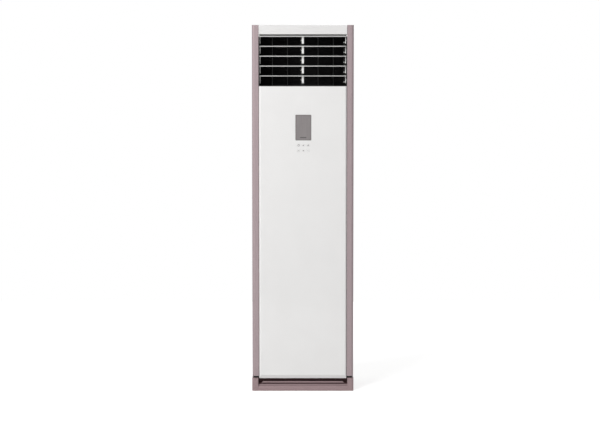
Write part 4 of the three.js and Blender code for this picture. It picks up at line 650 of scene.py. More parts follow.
def settle(thing):
    """Turns an object's modifiers into a plain mesh."""
    bpy.context.view_layer.update()
    graph = bpy.context.evaluated_depsgraph_get()
    made = bpy.data.meshes.new_from_object(thing.evaluated_get(graph))
    thing.modifiers.clear()
    old = thing.data
    thing.data = made
    bpy.data.meshes.remove(old)
    made.name = thing.name


def smooth(thing, sharp):
    """Smooth shading with hard edges from an angle in degrees."""
    thing.data.shade_smooth()
    thing.data.set_sharp_from_angle(angle=math.radians(sharp))


def polish(thing, sharp=40.0, bevel=0.0, segments=3):
    """Rounds the hard edges and shades smoothly, with flat faces kept flat."""
    smooth(thing, sharp)
    if bevel:
        modifier = thing.modifiers.new("edges", "BEVEL")
        modifier.width = bevel * MM
        modifier.segments = segments
        modifier.limit_method = "ANGLE"
        modifier.angle_limit = math.radians(sharp)
        modifier.use_clamp_overlap = True
    modifier = thing.modifiers.new("normals", "WEIGHTED_NORMAL")
    modifier.keep_sharp = True
    modifier.weight = 100
    settle(thing)


def make(name, bm, joins=(), cuts=(), bevel=0.0, segments=3, sharp=32.0):
    """An object from a solid, with others joined to it and cut from it, and its hard edges rounded."""
    thing = new_object(name, plain_mesh(name, bm))
    tools = []
    for operation, others in (("UNION", joins), ("DIFFERENCE", cuts)):
        for other in others:
            tools.append(new_object(name + "_tool", plain_mesh(name + "_tool", other)))
            modifier = thing.modifiers.new("shape", "BOOLEAN")
            modifier.operation = operation
            modifier.solver = "EXACT"
            modifier.object = tools[-1]
    if tools:
        settle(thing)
        for tool in tools:
            bpy.data.objects.remove(tool, do_unlink=True)
    polish(thing, sharp, bevel, segments)
    return thing


def add_mesh(thing, other):
    """Adds a mesh to a piece, without the double points where they meet."""
    bm = bmesh.new()
    bm.from_mesh(thing.data)
    bm.from_mesh(other)
    bmesh.ops.remove_doubles(bm, verts=bm.verts, dist=2e-6)
    made = bpy.data.meshes.new(thing.data.name)
    bm.to_mesh(made)
    bm.free()
    bpy.data.meshes.remove(other)
    thing.data = made


def add_shell(thing, bm):
    """Adds a solid to a piece as it is."""
    add_mesh(thing, plain_mesh("shell", bm))


def add_bit(thing, bm, **finish):
    """Adds a solid to a piece, with its own cuts and rounded edges."""
    bit = make(thing.name + "_bit", bm, **finish)
    mesh = bit.data
    bpy.data.objects.remove(bit, do_unlink=True)
    add_mesh(thing, mesh)


def coat(thing, material):
    """Gives an object one material."""
    thing.data.materials.clear()
    thing.data.materials.append(material)


def dress(thing, slot, body, *nodes, material=None):
    """Gives a piece its finish, from its slot unless a material is given, puts it under its body and hides
    the engineering nodes it stands for.
    """
    coat(thing, material or FINISHES[slot])
    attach(thing, body)
    if nodes:
        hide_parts(*nodes)


def node_group(name, inputs):
    """A node group for geometry with named inputs: its nodes, and its inputs by name."""
    tree = bpy.data.node_groups.new(name, "GeometryNodeTree")
    tree.interface.new_socket("Geometry", in_out="INPUT", socket_type="NodeSocketGeometry")
    for label, kind in inputs.items():
        tree.interface.new_socket(label, in_out="INPUT", socket_type=kind)
    tree.interface.new_socket("Geometry", in_out="OUTPUT", socket_type="NodeSocketGeometry")
    nodes = Nodes(tree)
    given = nodes.add("NodeGroupInput").socket.node
    return nodes, {socket.name: Term(nodes, socket) for socket in given.outputs if socket.name}


def lay_copies(thing, nodes, points, copy, slot, values):
    """Ends a node group in real copies on points, runs it on an object and keeps the plain mesh."""
    copies = nodes.add("GeometryNodeInstanceOnPoints", {"Points": points, "Instance": copy})
    real = nodes.add("GeometryNodeRealizeInstances", {0: copies})
    coated = nodes.add("GeometryNodeSetMaterial", {"Geometry": real, "Material": FINISHES[slot]})
    nodes.add("NodeGroupOutput", {0: coated})
    modifier = thing.modifiers.new("copies", "NODES")
    modifier.node_group = nodes.tree
    for item in nodes.tree.interface.items_tree:
        if item.in_out == "INPUT" and item.name in values:
            modifier[item.identifier] = values[item.name]
    settle(thing)


# ---- Stage and finishes ----


class AIRUNIT_OT_stage(bpy.types.Operator):
    """Set up the camera, the pale floor, the white surroundings and the soft lamps."""

    bl_idname = "airunit.stage"
    bl_label = "Stage"

    # Places and sizes in metres, the tilt in degrees, the lens in millimetres and each lamp's power in watts
    stand = (-0.0137, -8.0, 1.347)
    tilt_down = 3.89
    lens = 97.64
    floor_reach = 3.6
    middle = (0, 0, 0.95)
    lamps = {
        "key_lamp": ((-2.5, -3.8, 4.0), 2.6, 190),
        "fill_lamp": ((-2.2, -4.6, 1.4), 2.6, 22),
        "rear_lamp": ((1.5, 4.5, 3.2), 3.0, 60),
    }

    def execute(self, context):
        scene = context.scene
        camera = new_object("camera", bpy.data.cameras.new("camera"))
        camera.data.lens = self.lens
        camera.data.sensor_width = 36.0
        camera.data.clip_end = 200.0
        camera.location = self.stand
        camera.rotation_euler = (math.radians(90 - self.tilt_down), 0, 0)
        scene.camera = camera
        scene.view_settings.view_transform = "Standard"
        self.world(scene)
        self.floor()
        for name, (place, size, power) in self.lamps.items():
            self.lamp(name, place, size, power)
        return {"FINISHED"}

    @staticmethod
    def cleared(owner):
        """The nodes of a material or world, without those it starts with."""
        owner.use_nodes = True
        nodes = Nodes(owner.node_tree)
        nodes.tree.nodes.clear()
        return nodes

    @staticmethod
    def seen(nodes):
        """1 for rays that should meet white surroundings."""
        path = nodes.add("ShaderNodeLightPath").socket.node
        names = ("Is Camera Ray", "Is Glossy Ray", "Is Transmission Ray")
        camera, glossy, through = [Term(nodes, path.outputs[name]) for name in names]
        return camera.most(glossy).most(through)

    def world(self, scene):
        """White where it is seen, softer as a light."""
        scene.world = bpy.data.worlds.new("studio")
        nodes = self.cleared(scene.world)
        strength = 0.3 + self.seen(nodes) * 0.7
        sky = nodes.add("ShaderNodeBackground", {"Color": (1.0, 1.0, 1.0), "Strength": strength})
        nodes.add("ShaderNodeOutputWorld", {"Surface": sky})

    def floor(self):
        """A pale floor that keeps the shadow and meets the white surroundings."""
        bm = bmesh.new()
        bmesh.ops.create_grid(bm, x_segments=1, y_segments=1, size=self.floor_reach)
        mesh = bpy.data.meshes.new("floor")
        bm.to_mesh(mesh)
        bm.free()
        floor = new_object("floor", mesh)
        material = bpy.data.materials.new("pale_floor")
        nodes = self.cleared(material)
        pale = nodes.add("ShaderNodeBsdfDiffuse", {"Color": (0.82, 0.82, 0.82)})
        glow = nodes.add("ShaderNodeEmission", {"Strength": self.seen(nodes) * 0.62})
        both = nodes.add("ShaderNodeAddShader", {0: pale, 1: glow})
        nodes.add("ShaderNodeOutputMaterial", {"Surface": both})
        mesh.materials.append(material)

    def lamp(self, name, place, size, power):
        """A large soft lamp turned to the middle of the unit."""
        data = bpy.data.lights.new(name, "AREA")
        data.shape = "SQUARE"
        data.size = size
        data.energy = power
        lamp = new_object(name, data)
        lamp.location = place
        aim = Vector(self.middle) - Vector(place)
        lamp.rotation_euler = aim.to_track_quat("-Z", "Y").to_euler()


class AIRUNIT_OT_finishes(bpy.types.Operator):
    """Make the finishes and give every engineering node its own."""

    bl_idname = "airunit.finishes"
    bl_label = "Finishes"

    def execute(self, context):
        unit = context.scene.air_unit
        FINISHES.update(carried_finishes(unit.colours))
        for name, node in frame["nodes"].items():
            # The window's own finish is made with the window
            if node_slot(name) in FINISHES:
                coat(node, FINISHES[node_slot(name)])
        lip_foot = corners("outlet_lip")[0].z * MM
        moulding = outlet_moulding(tuple(unit.colours.black), lip_foot, linear("#ececea"))
        for name in ("outlet_frame", "outlet_lip"):
            coat(frame["nodes"][name], moulding)
        return {"FINISHED"}


def node_slot(name):
    """The material slot of an engineering node."""
    return next(part["material_slot"] for part in frame["record"]["subparts"] if part["node"] == name)


# ---- Front ----


class AIRUNIT_OT_columns(bpy.types.Operator):
    """Build the two metallic front columns."""

    bl_idname = "airunit.columns"
    bl_label = "Columns"

    def execute(self, context):
        unit = context.scene.air_unit
        radius = unit.cabinet.column_radius / MM
        wall, edge, gate_depth, past = 2.5, 2.0, 15, 1
        for word, side in SIDES.items():
            node = "column_" + word
            lo, hi = corners(node)
            inside, outside = sorted((abs(lo.x), abs(hi.x)))
            front, back = lo.y, hi.y
            turn = (outside - radius, front + radius)
            rim = [(inside, back), (inside, front + edge)]
            rim += arc((inside + edge, front + edge), edge, 180, 270, 6)
            rim += arc(turn, radius, -90, 0, 20)
            rim += [(outside, back)]
            inner = [(inside + wall, back + past), (inside + wall, front + wall)]
            inner += arc(turn, radius - wall, -90, 0, 20)
            inner += [(outside - wall, back + past)]
            body = prism("z", [(side * x, y) for x, y in rim], lo.z, hi.z)
            height = (lo.z - past, hi.z - wall)
            hollow = prism("z", [(side * x, y) for x, y in inner], *height)
            width = (side * (inside - past), side * (inside + wall + past))
            gate = block(width, (front + gate_depth, back + past), height)
            made = make(node + "_fine", body, cuts=[hollow, gate], bevel=0.6)
            dress(made, "rose_metallic", "cabinet", node)
        return {"FINISHED"}


class AIRUNIT_OT_front_panel(bpy.types.Operator):
    """Build the glossy front panel with its window seat and key openings."""

    bl_idname = "airunit.front_panel"
    bl_label = "Front Panel"

    # Millimetres, and the angle of a hard edge in degrees
    foot_bevel = 17
    bevel_depth = 8.7
    crown_round = 5
    wall = 3
    foot_gap = 1
    sharp = 19

    def execute(self, context):
        unit = context.scene.air_unit
        lo, hi = corners("front_panel")
        lo.z += self.foot_gap
        edge = unit.cabinet.panel_round / MM
        glass = corners("display_window")
        flat = panel_outline(lo, hi, edge, self.foot_bevel, self.crown_round)
        holes = [frame_round(glass, 0.3, 3.3)] + [key_opening(f"key_{i}") for i in range(1, 7)]
        made = make("front_panel_fine", self.shell(lo, hi, edge), sharp=self.sharp)
        add_shell(made, slab("y", lo.y, lo.y + self.wall, flat, holes, hole_edge=0.35, rim=False))
        polish(made, self.sharp)
        back, seat, mouth = glass[1].y, frame_round(glass, 3, 4), frame_round(glass, -5, 3)
        add_shell(made, slab("y", back + 0.3, back + 1.9, seat, [mouth]))
        dress(made, "gloss_white", "cabinet", "front_panel")
        return {"FINISHED"}

    def shell(self, lo, hi, edge):
        """The panel without its flat face, round at its sides and top and bevelled at its foot."""
        bm = bmesh.new()
        wall, crown, depth = self.wall, self.crown_round, hi.y - lo.y
        rings = []
        for back in [d for _, d in roll(edge, 12)] + [depth]:
            foot = self.foot_bevel * max(0.0, 1 - back / self.bevel_depth)
            rings.append((lo.y + back, inset_at(edge, back), foot, inset_at(crown, back)))
        for back in [depth - wall] + [d for _, d in reversed(roll(edge - wall, 8))]:
            foot = wall + (self.foot_bevel - wall) * max(0.0, 1 - back / self.bevel_depth)
            side, top = wall + inset_at(edge - wall, back), wall + inset_at(crown - wall, back)
            rings.append((lo.y + wall + back, side, foot, top))
        outlines = [(y, panel_outline(lo, hi, *drawn)()) for y, *drawn in rings]
        bridge(bm, [[bm.verts.new((u, y, v)) for u, v in outline] for y, outline in outlines])
        return bm


def panel_outline(lo, hi, side, foot, crown):
    """The outline of the front panel, drawn in by its own amount at the sides, the foot and the top."""
    return round_box(lo.x + side, hi.x - side, lo.z + foot, hi.z - crown, 1.2, 4)


def inset_at(radius, depth):
    """How far a quarter round is drawn in at a depth behind its face."""
    away = max(0.0, radius - depth)
    return radius - math.sqrt(radius * radius - away * away)


def frame_round(box, margin, radius):
    """An outline round a box seen from the front, a margin outside it."""
    lo, hi = box
    return round_box(lo.x - margin, hi.x + margin, lo.z - margin, hi.z + margin, radius)


def key_opening(node):
    """The opening round a key, wider than its cap by the gap."""
    lo, hi = corners(node)
    x, z = (lo.x + hi.x) / 2, (lo.z + hi.z) / 2
    wide, high = (half + KEY_GAP for half in KEY_CAP)
    return round_box(x - wide, x + wide, z - high, z + high, 2.1, 5)


class AIRUNIT_OT_display(bpy.types.Operator):
    """Build the display window and the six push keys."""

    bl_idname = "airunit.display"
    bl_label = "Display and Keys"

    def execute(self, context):
        unit = context.scene.air_unit
        lo, hi = corners("display_window")
        centre, half = (lo + hi) / 2 * MM, (hi - lo) / 2 * MM
        glass = slab("y", lo.y, hi.y, round_box(lo.x, hi.x, lo.z, hi.z, 3), edge=0.5, far_edge=0.2)
        window = make("display_window_fine", glass)
        material = smoked_window(tuple(unit.colours.window), (centre.x, 0, centre.z), half.x, half.z)
        dress(window, "smoked_window", "cabinet", "display_window", material=material)
        for number, mark in enumerate(("ring", "up", "cross", "bar", "down", "dots"), 1):
            self.key(f"key_{number}", mark, tuple(unit.colours.white))
        return {"FINISHED"}

    @staticmethod
    def key(node, mark, tone):
        """A key cap with a shallow dish, its flange and its stem."""
        lo, hi = corners(node)
        x, z = (lo.x + hi.x) / 2, (lo.z + hi.z) / 2
        wide, high = KEY_CAP
        bm = bmesh.new()
        cap = round_box(x - wide, x + wide, z - high, z + high, 1.6, 6)
        dish = [(4.2, 0.16), (2.6, 0.1), (1.0, 0.01), (0.5, 0)]
        side = [(0.15, 0.15), (0, 0.5), (0, 4.4)]
        rings = [[bm.verts.new((u, lo.y + depth, v)) for u, v in cap(inset)] for inset, depth in dish + side]
        bridge(bm, rings)
        cover(bm, rings[0])
        cover(bm, rings[-1])
        wide, high = wide + KEY_FLANGE, high + KEY_FLANGE
        flange = block((x - wide, x + wide), (lo.y + 3.7, lo.y + 4.9), (z - high, z + high))
        stem = rod("y", (x, z), 3, lo.y + 4, hi.y)
        made = make(node + "_fine", bm, joins=[flange, stem], sharp=40)
        dress(made, "gloss_white", node, node, material=key_finish(tone, (x * MM, 0, z * MM), mark))


class AIRUNIT_OT_top_cap(bpy.types.Operator):
    """Build the moulded white cap over the outlet."""

    bl_idname = "airunit.top_cap"
    bl_label = "Top Cap"

    def execute(self, context):
        unit = context.scene.air_unit
        lo, hi = corners("top_cap")
        radius, lip, wall, face_wall = unit.cabinet.cap_radius / MM, 1.7, 3, 7
        section = [(lo.y + face_wall, lo.z), (lo.y + 3.4, lo.z), (lo.y + 3.4, lo.z - lip)]
        section += arc((lo.y + 0.8, lo.z - 0.9), 0.8, 270, 180, 5)
        section += arc((lo.y + radius, hi.z - radius), radius, 180, 90, 14)
        section += [(hi.y, hi.z), (hi.y, lo.z)]
        shell = prism("x", section, lo.x, hi.x)
        depths = (lo.y + face_wall + 0.1, hi.y + 1)
        hollow = block((lo.x + wall, hi.x - wall), depths, (lo.z - 1, hi.z - wall))
        made = make("top_cap_fine", shell, cuts=[hollow], bevel=0.7)
        paint = gloss_white(shade(tuple(unit.colours.white), 0.93), "gloss_white_cap")
        dress(made, "gloss_white", "cabinet", "top_cap", material=paint)
        return {"FINISHED"}


class AIRUNIT_OT_plinth(bpy.types.Operator):
    """Build the stepped plinth with its recessed sill."""

    bl_idname = "airunit.plinth"
    bl_label = "Plinth"

    # Millimetres from the face, the ends and the floor
    post = 30
    wall = 3
    sill_depth = 44
    ridge_foot = 38.2
    ridge_top = 46
    slot_front = 12.6
    slot_back = 43
    slot_foot = 30.5

    def execute(self, context):
        unit = context.scene.air_unit
        lo, hi = corners("plinth")
        end, past, depth = hi.x - self.post, 5, lo.y + self.sill_depth
        outer = round_box(lo.x, hi.x, lo.y, hi.y, 10, 12)
        inner = round_box(lo.x + self.wall, hi.x - self.wall, depth, hi.y - self.wall, 7, 8)
        skirt = slab("z", hi.z, lo.z, outer, [inner], edge=1.0, far_edge=1.0)
        recess = block((-end, end), (lo.y - past, depth + 1), (lo.z - past, hi.z + past))
        made = make("plinth_fine", skirt, cuts=[recess], bevel=0.6)
        reach = end + 0.5
        sill = prism("x", self.sill(lo.y, hi.z), -reach, reach)
        pockets = [self.pocket(side, end, lo.y, hi.z) for side in SIDES.values()]
        add_bit(made, sill, cuts=pockets, bevel=0.3, segments=2, sharp=28)
        add_shell(made, self.ledge(lo, hi))
        # The sill paint is darkened inside the slot as painted shade
        slot = (reach * MM, (lo.y + self.slot_front) * MM, (lo.y + self.slot_back) * MM, self.slot_foot * MM)
        paint = rose_metallic(tuple(unit.colours.sill), "plinth_paint", slot)
        dress(made, "rose_metallic", "cabinet", "plinth", material=paint)
        return {"FINISHED"}

    def ledge(self, lo, hi):
        """The flange inside the skirt that carries the base plate."""
        lap, width, front = 2, 14, lo.y + self.slot_back
        outer = round_box(lo.x + lap, hi.x - lap, front, hi.y - lap, 7, 4)
        inner = round_box(lo.x + width, hi.x - width, front + 11, hi.y - width, 5, 4)
        return slab("z", hi.z - 0.2, hi.z - 2.2, outer, [inner])

    def pocket(self, side, end, face, top):
        """The gap between the ridge and a post, longer at its top than at its foot."""
        shape = [(end + 2, self.ridge_foot), (end + 2, top - 1), (end - 24, top - 1)]
        shape += [(end - 24, self.ridge_top), (end - 15, self.ridge_foot)]
        return prism("y", [(side * x, z) for x, z in shape], face - 1, face + 40)

    def sill(self, face, top):
        """Height against distance behind the face: foot, slope with its pressed line, groove and ridge."""
        depth, ridge = self.sill_depth, self.ridge_top
        shape = [(0.8, 0), (depth, 0), (depth, top - 0.5), (40, top - 0.5), (40, ridge)]
        shape += [(11.4, ridge), (10.6, ridge - 0.7), (12, 39), (12.6, self.ridge_foot)]
        shape += [(22, self.ridge_foot), (22, 33.4), (21.4, 33), (12.8, 33), (12, 32.6)]
        shape += [(7.7, 28.3), (7.4, 27.8), (10.2, 27.8), (10.2, 24.9), (6.1, 24.8)]
        shape += [(0.5, 18.6), (0, 17.6), (0, 0.8)]
        return [(face + back, z) for back, z in reversed(shape)]


# ---- Sides, top and back ----


class AIRUNIT_OT_side_panels(bpy.types.Operator):
    """Build the folded side panels with their grille cut-outs."""

    bl_idname = "airunit.side_panels"
    bl_label = "Side Panels"

    def execute(self, context):
        unit = context.scene.air_unit
        fold, sheet, flange, gap = unit.cabinet.fold_radius / MM, 1.5, 16, 3
        for word, side in SIDES.items():
            node = "side_panel_" + word
            lo, hi = corners(node)
            out, front, back = max(abs(lo.x), abs(hi.x)), lo.y, hi.y
            near, far = (out - fold, front + fold), (out - fold, back - fold)
            rim = [(out - flange, front)]
            rim += arc(near, fold, -90, 0, 8) + arc(far, fold, 0, 90, 8)
            rim += [(out - flange, back), (out - flange, back - sheet)]
            rim += arc(far, fold - sheet, 90, 0, 6) + arc(near, fold - sheet, 0, -90, 6)
            rim += [(out - flange, front + sheet)]
            body = prism("z", [(side * x, y) for x, y in rim], lo.z, hi.z)
            low, high = corners("filter_" + word)
            hole = round_box(low.y - gap, high.y + gap, low.z - gap, high.z + gap, 3)
            cutter = prism("x", hole(), side * (out - 5), side * (out + 5))
            made = make(node + "_fine", body, cuts=[cutter], bevel=unit.cabinet.sheet_edge / MM, segments=2)
            dress(made, "coated_steel", "cabinet", node)
        return {"FINISHED"}


class AIRUNIT_OT_intake_grilles(bpy.types.Operator):
    """Build the louvred intake grilles."""

    bl_idname = "airunit.intake_grilles"
    bl_label = "Intake Grilles"

    def execute(self, context):
        unit = context.scene.air_unit
        rim, wall = 8, 3
        for word, side in SIDES.items():
            node = "intake_grille_" + word
            lo, hi = corners(node)
            out, back = max(abs(lo.x), abs(hi.x)), min(abs(lo.x), abs(hi.x))
            y0, y1, z0, z1 = lo.y + rim, hi.y - rim, lo.z + rim, hi.z - rim
            mouth = round_box(y0 + wall, y1 - wall, z0 + wall, z1 - wall, 3)
            outer = round_box(lo.y, hi.y, lo.z, hi.z, 6)
            bezel = slab("x", side * out, side * (out - 1.1), outer, [mouth], edge=0.9, hole_edge=0.5)
            sleeve = round_box(y0, y1, z0, z1, 1)
            made = make(node + "_frame", bezel, sharp=40)
            add_shell(made, slab("x", side * (out - 0.5), side * back, sleeve, [mouth], hole_edge=0.3))
            polish(made)
            body = word + "_intake"
            dress(made, "coated_steel", body, node)
            span, height = (y0 + wall / 2, y1 - wall / 2), (z0 + wall, z1 - wall)
            dress(self.slats(node, side, out, back, span, height, unit.outlet), "coated_steel", body)
        return {"FINISHED"}

    @staticmethod
    def slats(node, side, out, back, span, height, sizes):
        """Equal slats that fall outwards, laid by nodes up the grille."""
        count = sizes.slat_count
        pitch = (height[1] - height[0]) / (count + 1)
        thick, fall = sizes.slat_thickness / MM / 2, 3.5
        inner, outer = (side * (back + 0.6), fall + thick), (side * (out - 1.2), -fall + thick)
        inputs = {"Count": "NodeSocketInt", "Pitch": "NodeSocketFloat", "Foot": "NodeSocketFloat"}
        nodes, named = node_group("grille_slats", inputs)
        step = nodes.add("ShaderNodeCombineXYZ", {2: named["Pitch"]})
        start = nodes.add("ShaderNodeCombineXYZ", {2: named["Foot"]})
        line = {"Count": named["Count"], "Start Location": start, "Offset": step}
        rows = nodes.add("GeometryNodeMeshLine", line, mode="OFFSET")
        name = node + "_slats"
        thing = new_object(name, plain_mesh(name, prism("y", slat_profile(inner, outer, thick), *span)))
        smooth(thing, 40)
        values = {"Count": count, "Pitch": pitch * MM, "Foot": (height[0] + pitch) * MM}
        lay_copies(thing, nodes, rows, named["Geometry"], "coated_steel", values)
        return thing


def slat_profile(start, end, radius):
    """A bar with round edges between two points, in width and height."""
    heading = math.degrees(math.atan2(end[1] - start[1], end[0] - start[0]))
    outer_edge = arc(end, radius, heading - 90, heading + 90, 6)
    return outer_edge + arc(start, radius, heading + 90, heading + 270, 6)


class AIRUNIT_OT_lid(bpy.types.Operator):
    """Build the sheet lid behind the top cap."""

    bl_idname = "airunit.lid"
    bl_label = "Lid"

    def execute(self, context):
        lo, hi = corners("top_cover")
        sheet = slab("z", hi.z, hi.z - 2, round_box(lo.x, hi.x, lo.y, hi.y, 2.5, 5), edge=1.6)
        made = make("top_cover_fine", sheet, sharp=40)
        skirt = [round_box(lo.x + d, hi.x - d, lo.y + d, hi.y - d - 2, 2, 3) for d in (2, 4)]
        add_shell(made, slab("z", hi.z - 1.9, lo.z, skirt[0], skirt[1:]))
        polish(made)
        dress(made, "coated_steel", "cabinet", "top_cover")
        return {"FINISHED"}


class AIRUNIT_OT_rear_panel(bpy.types.Operator):
    """Build the rear panel with its pressed beads, its pipe hole and its turned-in foot."""

    bl_idname = "airunit.rear_panel"
    bl_label = "Rear Panel"

    def execute(self, context):
        lo, hi = corners("rear_panel")
        face, sheet, margin = hi.y, 1.6, 40
        bead_height, bead_depth, bead_slope = 14, 3.0, 4.0
        outer = round_box(lo.x, hi.x, lo.z, hi.z, 1, 2)
        pipe_hole = disc(-130, 172, 36, 64)
        rows = (632, 972, hi.z - 200)
        beads = [round_box(lo.x + margin, hi.x - margin, z, z + bead_height, 7, 10) for z in rows]
        pockets = [(bead, bead_depth, bead_slope) for bead in beads]
        panel = slab("y", face, face - sheet, outer, [pipe_hole], hole_edge=0.5, pockets=pockets)
        made = make("rear_panel_fine", panel, sharp=40)
        add_shell(made, block((lo.x + 4, hi.x - 4), (lo.y, face - 1.5), (lo.z, lo.z + 1.2)))
        polish(made)
        dress(made, "coated_steel", "cabinet", "rear_panel")
        return {"FINISHED"}


class AIRUNIT_OT_wall_bracket(bpy.types.Operator):
    """Build the bent bracket that ties the cabinet to a wall."""

    bl_idname = "airunit.wall_bracket"
    bl_label = "Wall Bracket"

    def execute(self, context):
        lo, hi = corners("wall_bracket")
        sheet, knee = 1.4, hi.z - 50
        near, far = lo.y, hi.y
        section = [(near, lo.z), (near + sheet, lo.z)]
        section += [(near + sheet, knee - 3.4), (near + sheet + 0.5, knee - 2.2)]
        section += [(far - 0.9, knee - 1.2), (far, knee + 0.6), (far, hi.z), (far - sheet, hi.z)]
        section += [(far - sheet, knee + 1.6), (far - sheet - 0.5, knee + 0.5)]
        section += [(near + 0.4, knee - 0.8), (near, knee - 2.2)]
        plate = prism("x", section, lo.x, hi.x)
        holes = [rod("y", (x, hi.z - 50 / 3), 4, near - 2, far + 2, 32) for x in (lo.x / 2, hi.x / 2)]
        made = make("wall_bracket_fine", plate, cuts=holes, bevel=0.3, segments=2)
        dress(made, "zinc_steel", "cabinet", "wall_bracket")
        return {"FINISHED"}


class AIRUNIT_OT_fasteners(bpy.types.Operator):
    """Lay pan-head screws along the rear edges by nodes."""

    bl_idname = "airunit.fasteners"
    bl_label = "Fasteners"

    # Millimetres
    head_radius = 4.0
    head_height = 1.45
    edge_column = 237
    end_space = 60
    top_pair = (24, 1656)

    def execute(self, context):
        unit = context.scene.air_unit
        lo, hi = corners("side_panel_left")
        pitch = unit.cabinet.screw_pitch / MM
        rows = int((hi.z - lo.z - self.end_space) // pitch) + 1
        start = (hi.z + lo.z - (rows - 1) * pitch) / 2
        column = [(self.edge_column, start + i * pitch) for i in range(rows)]
        places = [(side * x, hi.y, z) for side in SIDES.values() for x, z in (*column, self.top_pair)]
        mesh = bpy.data.meshes.new("screw_points")
        mesh.from_pydata([Vector(p) * MM for p in places], [], [])
        thing = new_object("rear_screws", mesh)
        sizes = ("Head Radius", "Head Height")
        nodes, named = node_group("pan_head_screws", dict.fromkeys(sizes, "NodeSocketFloat"))
        values = dict(zip(sizes, (self.head_radius * MM, self.head_height * MM)))
        head = self.head(nodes, *(named[size] for size in sizes))
        lay_copies(thing, nodes, named["Geometry"], head, "zinc_steel", values)
        smooth(thing, 30)
        dress(thing, "zinc_steel", "cabinet")
        return {"FINISHED"}

    @staticmethod
    def head(nodes, radius, height):
        """A domed head with a cross recess, facing backwards."""
        ball = nodes.add("GeometryNodeMeshUVSphere", {"Segments": 24, "Rings": 16, "Radius": 1.0})
        wide = nodes.add("ShaderNodeCombineXYZ", {0: radius, 1: height, 2: radius})
        dome = nodes.add("GeometryNodeTransform", {"Geometry": ball, "Scale": wide})
        lift = nodes.add("ShaderNodeCombineXYZ", {1: height})
        bars = []
        for across, up in ((1.1, 0.275), (0.275, 1.1)):
            size = nodes.add("ShaderNodeCombineXYZ", {0: radius * across, 1: height * 1.2, 2: radius * up})
            bar = nodes.add("GeometryNodeMeshCube", {"Size": size})
            bars.append(nodes.add("GeometryNodeTransform", {"Geometry": bar, "Translation": lift}))
        cut = nodes.add("GeometryNodeMeshBoolean", {"Mesh 1": dome}, operation="DIFFERENCE")
        for bar in bars:
            nodes.tree.links.new(bar.socket, cut.socket.node.inputs["Mesh 2"])
        return cut


# ---- Outlet ----


class AIRUNIT_OT_blades(bpy.types.Operator):
    """Build the louvre blades with their arms, lugs and pins."""

    bl_idname = "airunit.blades"
    bl_label = "Louvre Blades"

    # Millimetres
    pivot_y = -125.25
    pivot_rise = 17
    reach = 208.7
    half_width = 46.6 / 2
    foil_height = 18
    link_gap = (196.2, 202.2)
    link_pin_drop = 10

    def execute(self, context):
        unit = context.scene.air_unit
        for number in range(1, 6):
            node = f"blade_{number}"
            made = self.blade(node, *corners(node), unit.outlet)
            dress(made, "blade_white", node, node)
        return {"FINISHED"}

    def blade(self, node, lo, hi, sizes):
        """One cambered blade round its pivot."""
        y, z, reach, half = self.pivot_y, lo.z + self.pivot_rise, self.reach, self.half_width
        foil = prism("x", [(y + v, z + w) for v, w in self.section(sizes)], -reach, reach)
        notch = block(self.link_gap, (y - 11, y + half + 1), (z + 12, z + 24))
        made = make(node + "_fine", foil, cuts=[notch], bevel=0.25, segments=2)
        arm = [(y - 9, z + 18), (y - 8, z + 10)]
        arm += arc((y, z - 11), 6, 180, 360, 16) + [(y + 8, z + 10), (y + 9, z + 18)]
        lug = sizes.lug_width / MM / 2
        arms = ((1 - reach, 4 - reach), (reach - 4, reach - 1), (-lug, lug))
        pins = ((lo.x, 3 - reach), (reach - 3, hi.x), (-lug - 5.65, 0))
        bits = [prism("x", arm, *span) for span in arms]
        bits += [rod("x", (y, z), 3, *span) for span in pins]
        bits.append(rod("x", (y, z - self.link_pin_drop), 2.5, self.link_gap[0], reach - 1.5))
        for bit in bits:
            add_bit(made, bit, bevel=0.35, segments=2)
        return made

    def section(self, sizes):
        """The cambered section with round edges, from the pivot."""
        half, thick, camber = self.half_width, sizes.blade_thickness / MM, sizes.blade_camber / MM
        along = [-half * math.cos(math.pi * i / 28) for i in range(1, 28)]

        def rise(y):
            return self.foil_height + camber * (1 - (y / half) ** 2)

        def swell(y):
            return thick / 2 * math.sqrt(max(0.0, 1 - abs(y / half) ** 5))

        under = [(-half, rise(half))] + [(y, rise(y) - swell(y)) for y in along]
        return under + [(half, rise(half))] + [(y, rise(y) + swell(y)) for y in reversed(along)]


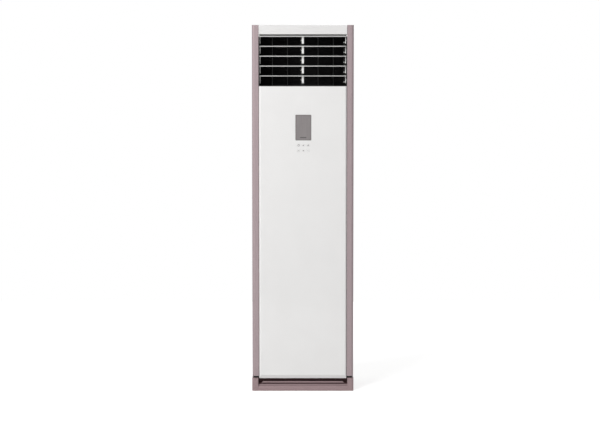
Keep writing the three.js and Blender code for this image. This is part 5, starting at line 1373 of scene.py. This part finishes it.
class AIRUNIT_OT_vanes(bpy.types.Operator):
    """Build the upright vanes behind the blades."""

    bl_idname = "airunit.vanes"
    bl_label = "Upright Vanes"

    # Millimetres
    pivot_y = -56.75
    link_pin_back = 22
    tip = 1.25
    half_width = 32

    def execute(self, context):
        y, tip, half = self.pivot_y, self.tip, self.half_width
        foot = corners("vane_link")[0].z + 4
        for number in range(1, 6):
            node = f"vane_{number}"
            lo, hi = corners(node)
            x, top = (lo.x + hi.x) / 2, hi.z - 3
            shape = arc((x, y - half + tip), tip, 180, 360, 8)
            shape += [(x + tip + 0.5, y - 6), (x + tip + 0.6, y), (x + tip + 0.4, y + 8)]
            shape += arc((x, y + half - tip / 2), tip / 2, 0, 180, 6)
            shape += [(x - tip - 0.4, y + 8), (x - tip - 0.6, y), (x - tip - 0.5, y - 6)]
            made = make(node + "_fine", prism("z", shape, foot, top), bevel=0.3, segments=2)
            add_bit(made, rod("z", (x, y), 2.5, lo.z, foot + 6))
            add_bit(made, rod("z", (x, y), 2.5, top - 6, hi.z))
            add_bit(made, rod("z", (x, y + self.link_pin_back), 2, foot - 4.5, foot + 4))
            dress(made, "black_plastic", node, node)
        return {"FINISHED"}


# ---- Panel and start ----

STEPS = (
    AIRUNIT_OT_stage,
    AIRUNIT_OT_finishes,
    AIRUNIT_OT_columns,
    AIRUNIT_OT_front_panel,
    AIRUNIT_OT_display,
    AIRUNIT_OT_top_cap,
    AIRUNIT_OT_plinth,
    AIRUNIT_OT_side_panels,
    AIRUNIT_OT_intake_grilles,
    AIRUNIT_OT_lid,
    AIRUNIT_OT_rear_panel,
    AIRUNIT_OT_wall_bracket,
    AIRUNIT_OT_fasteners,
    AIRUNIT_OT_blades,
    AIRUNIT_OT_vanes,
)


class AIRUNIT_PT_panel(bpy.types.Panel):
    """The build steps and their settings in the sidebar."""

    bl_idname = "AIRUNIT_PT_panel"
    bl_label = "Floor Standing Air Conditioner"
    bl_space_type = "VIEW_3D"
    bl_region_type = "UI"
    bl_category = "Air Unit"

    def draw(self, context):
        unit = context.scene.air_unit
        for group in (unit.cabinet, unit.outlet, unit.colours):
            box = self.layout.box()
            for name in group.bl_rna.properties.keys():
                if name not in ("rna_type", "name"):
                    box.prop(group, name)
        for step in STEPS:
            self.layout.operator(step.bl_idname, text=step.bl_label)


CLASSES = (CabinetSizes, OutletSizes, UnitColours, AirUnitSettings, *STEPS, AIRUNIT_PT_panel)


def register():
    """Registers the classes and the settings."""
    for one in CLASSES:
        bpy.utils.register_class(one)
    bpy.types.Scene.air_unit = bpy.props.PointerProperty(type=AirUnitSettings)


def unregister():
    """Removes the settings and the classes."""
    del bpy.types.Scene.air_unit
    for one in reversed(CLASSES):
        bpy.utils.unregister_class(one)


def main():
    """Builds the whole unit."""
    register()
    for step in STEPS:
        group, name = step.bl_idname.split(".")
        getattr(getattr(bpy.ops, group), name)()


if __name__ == "__main__":
    main()
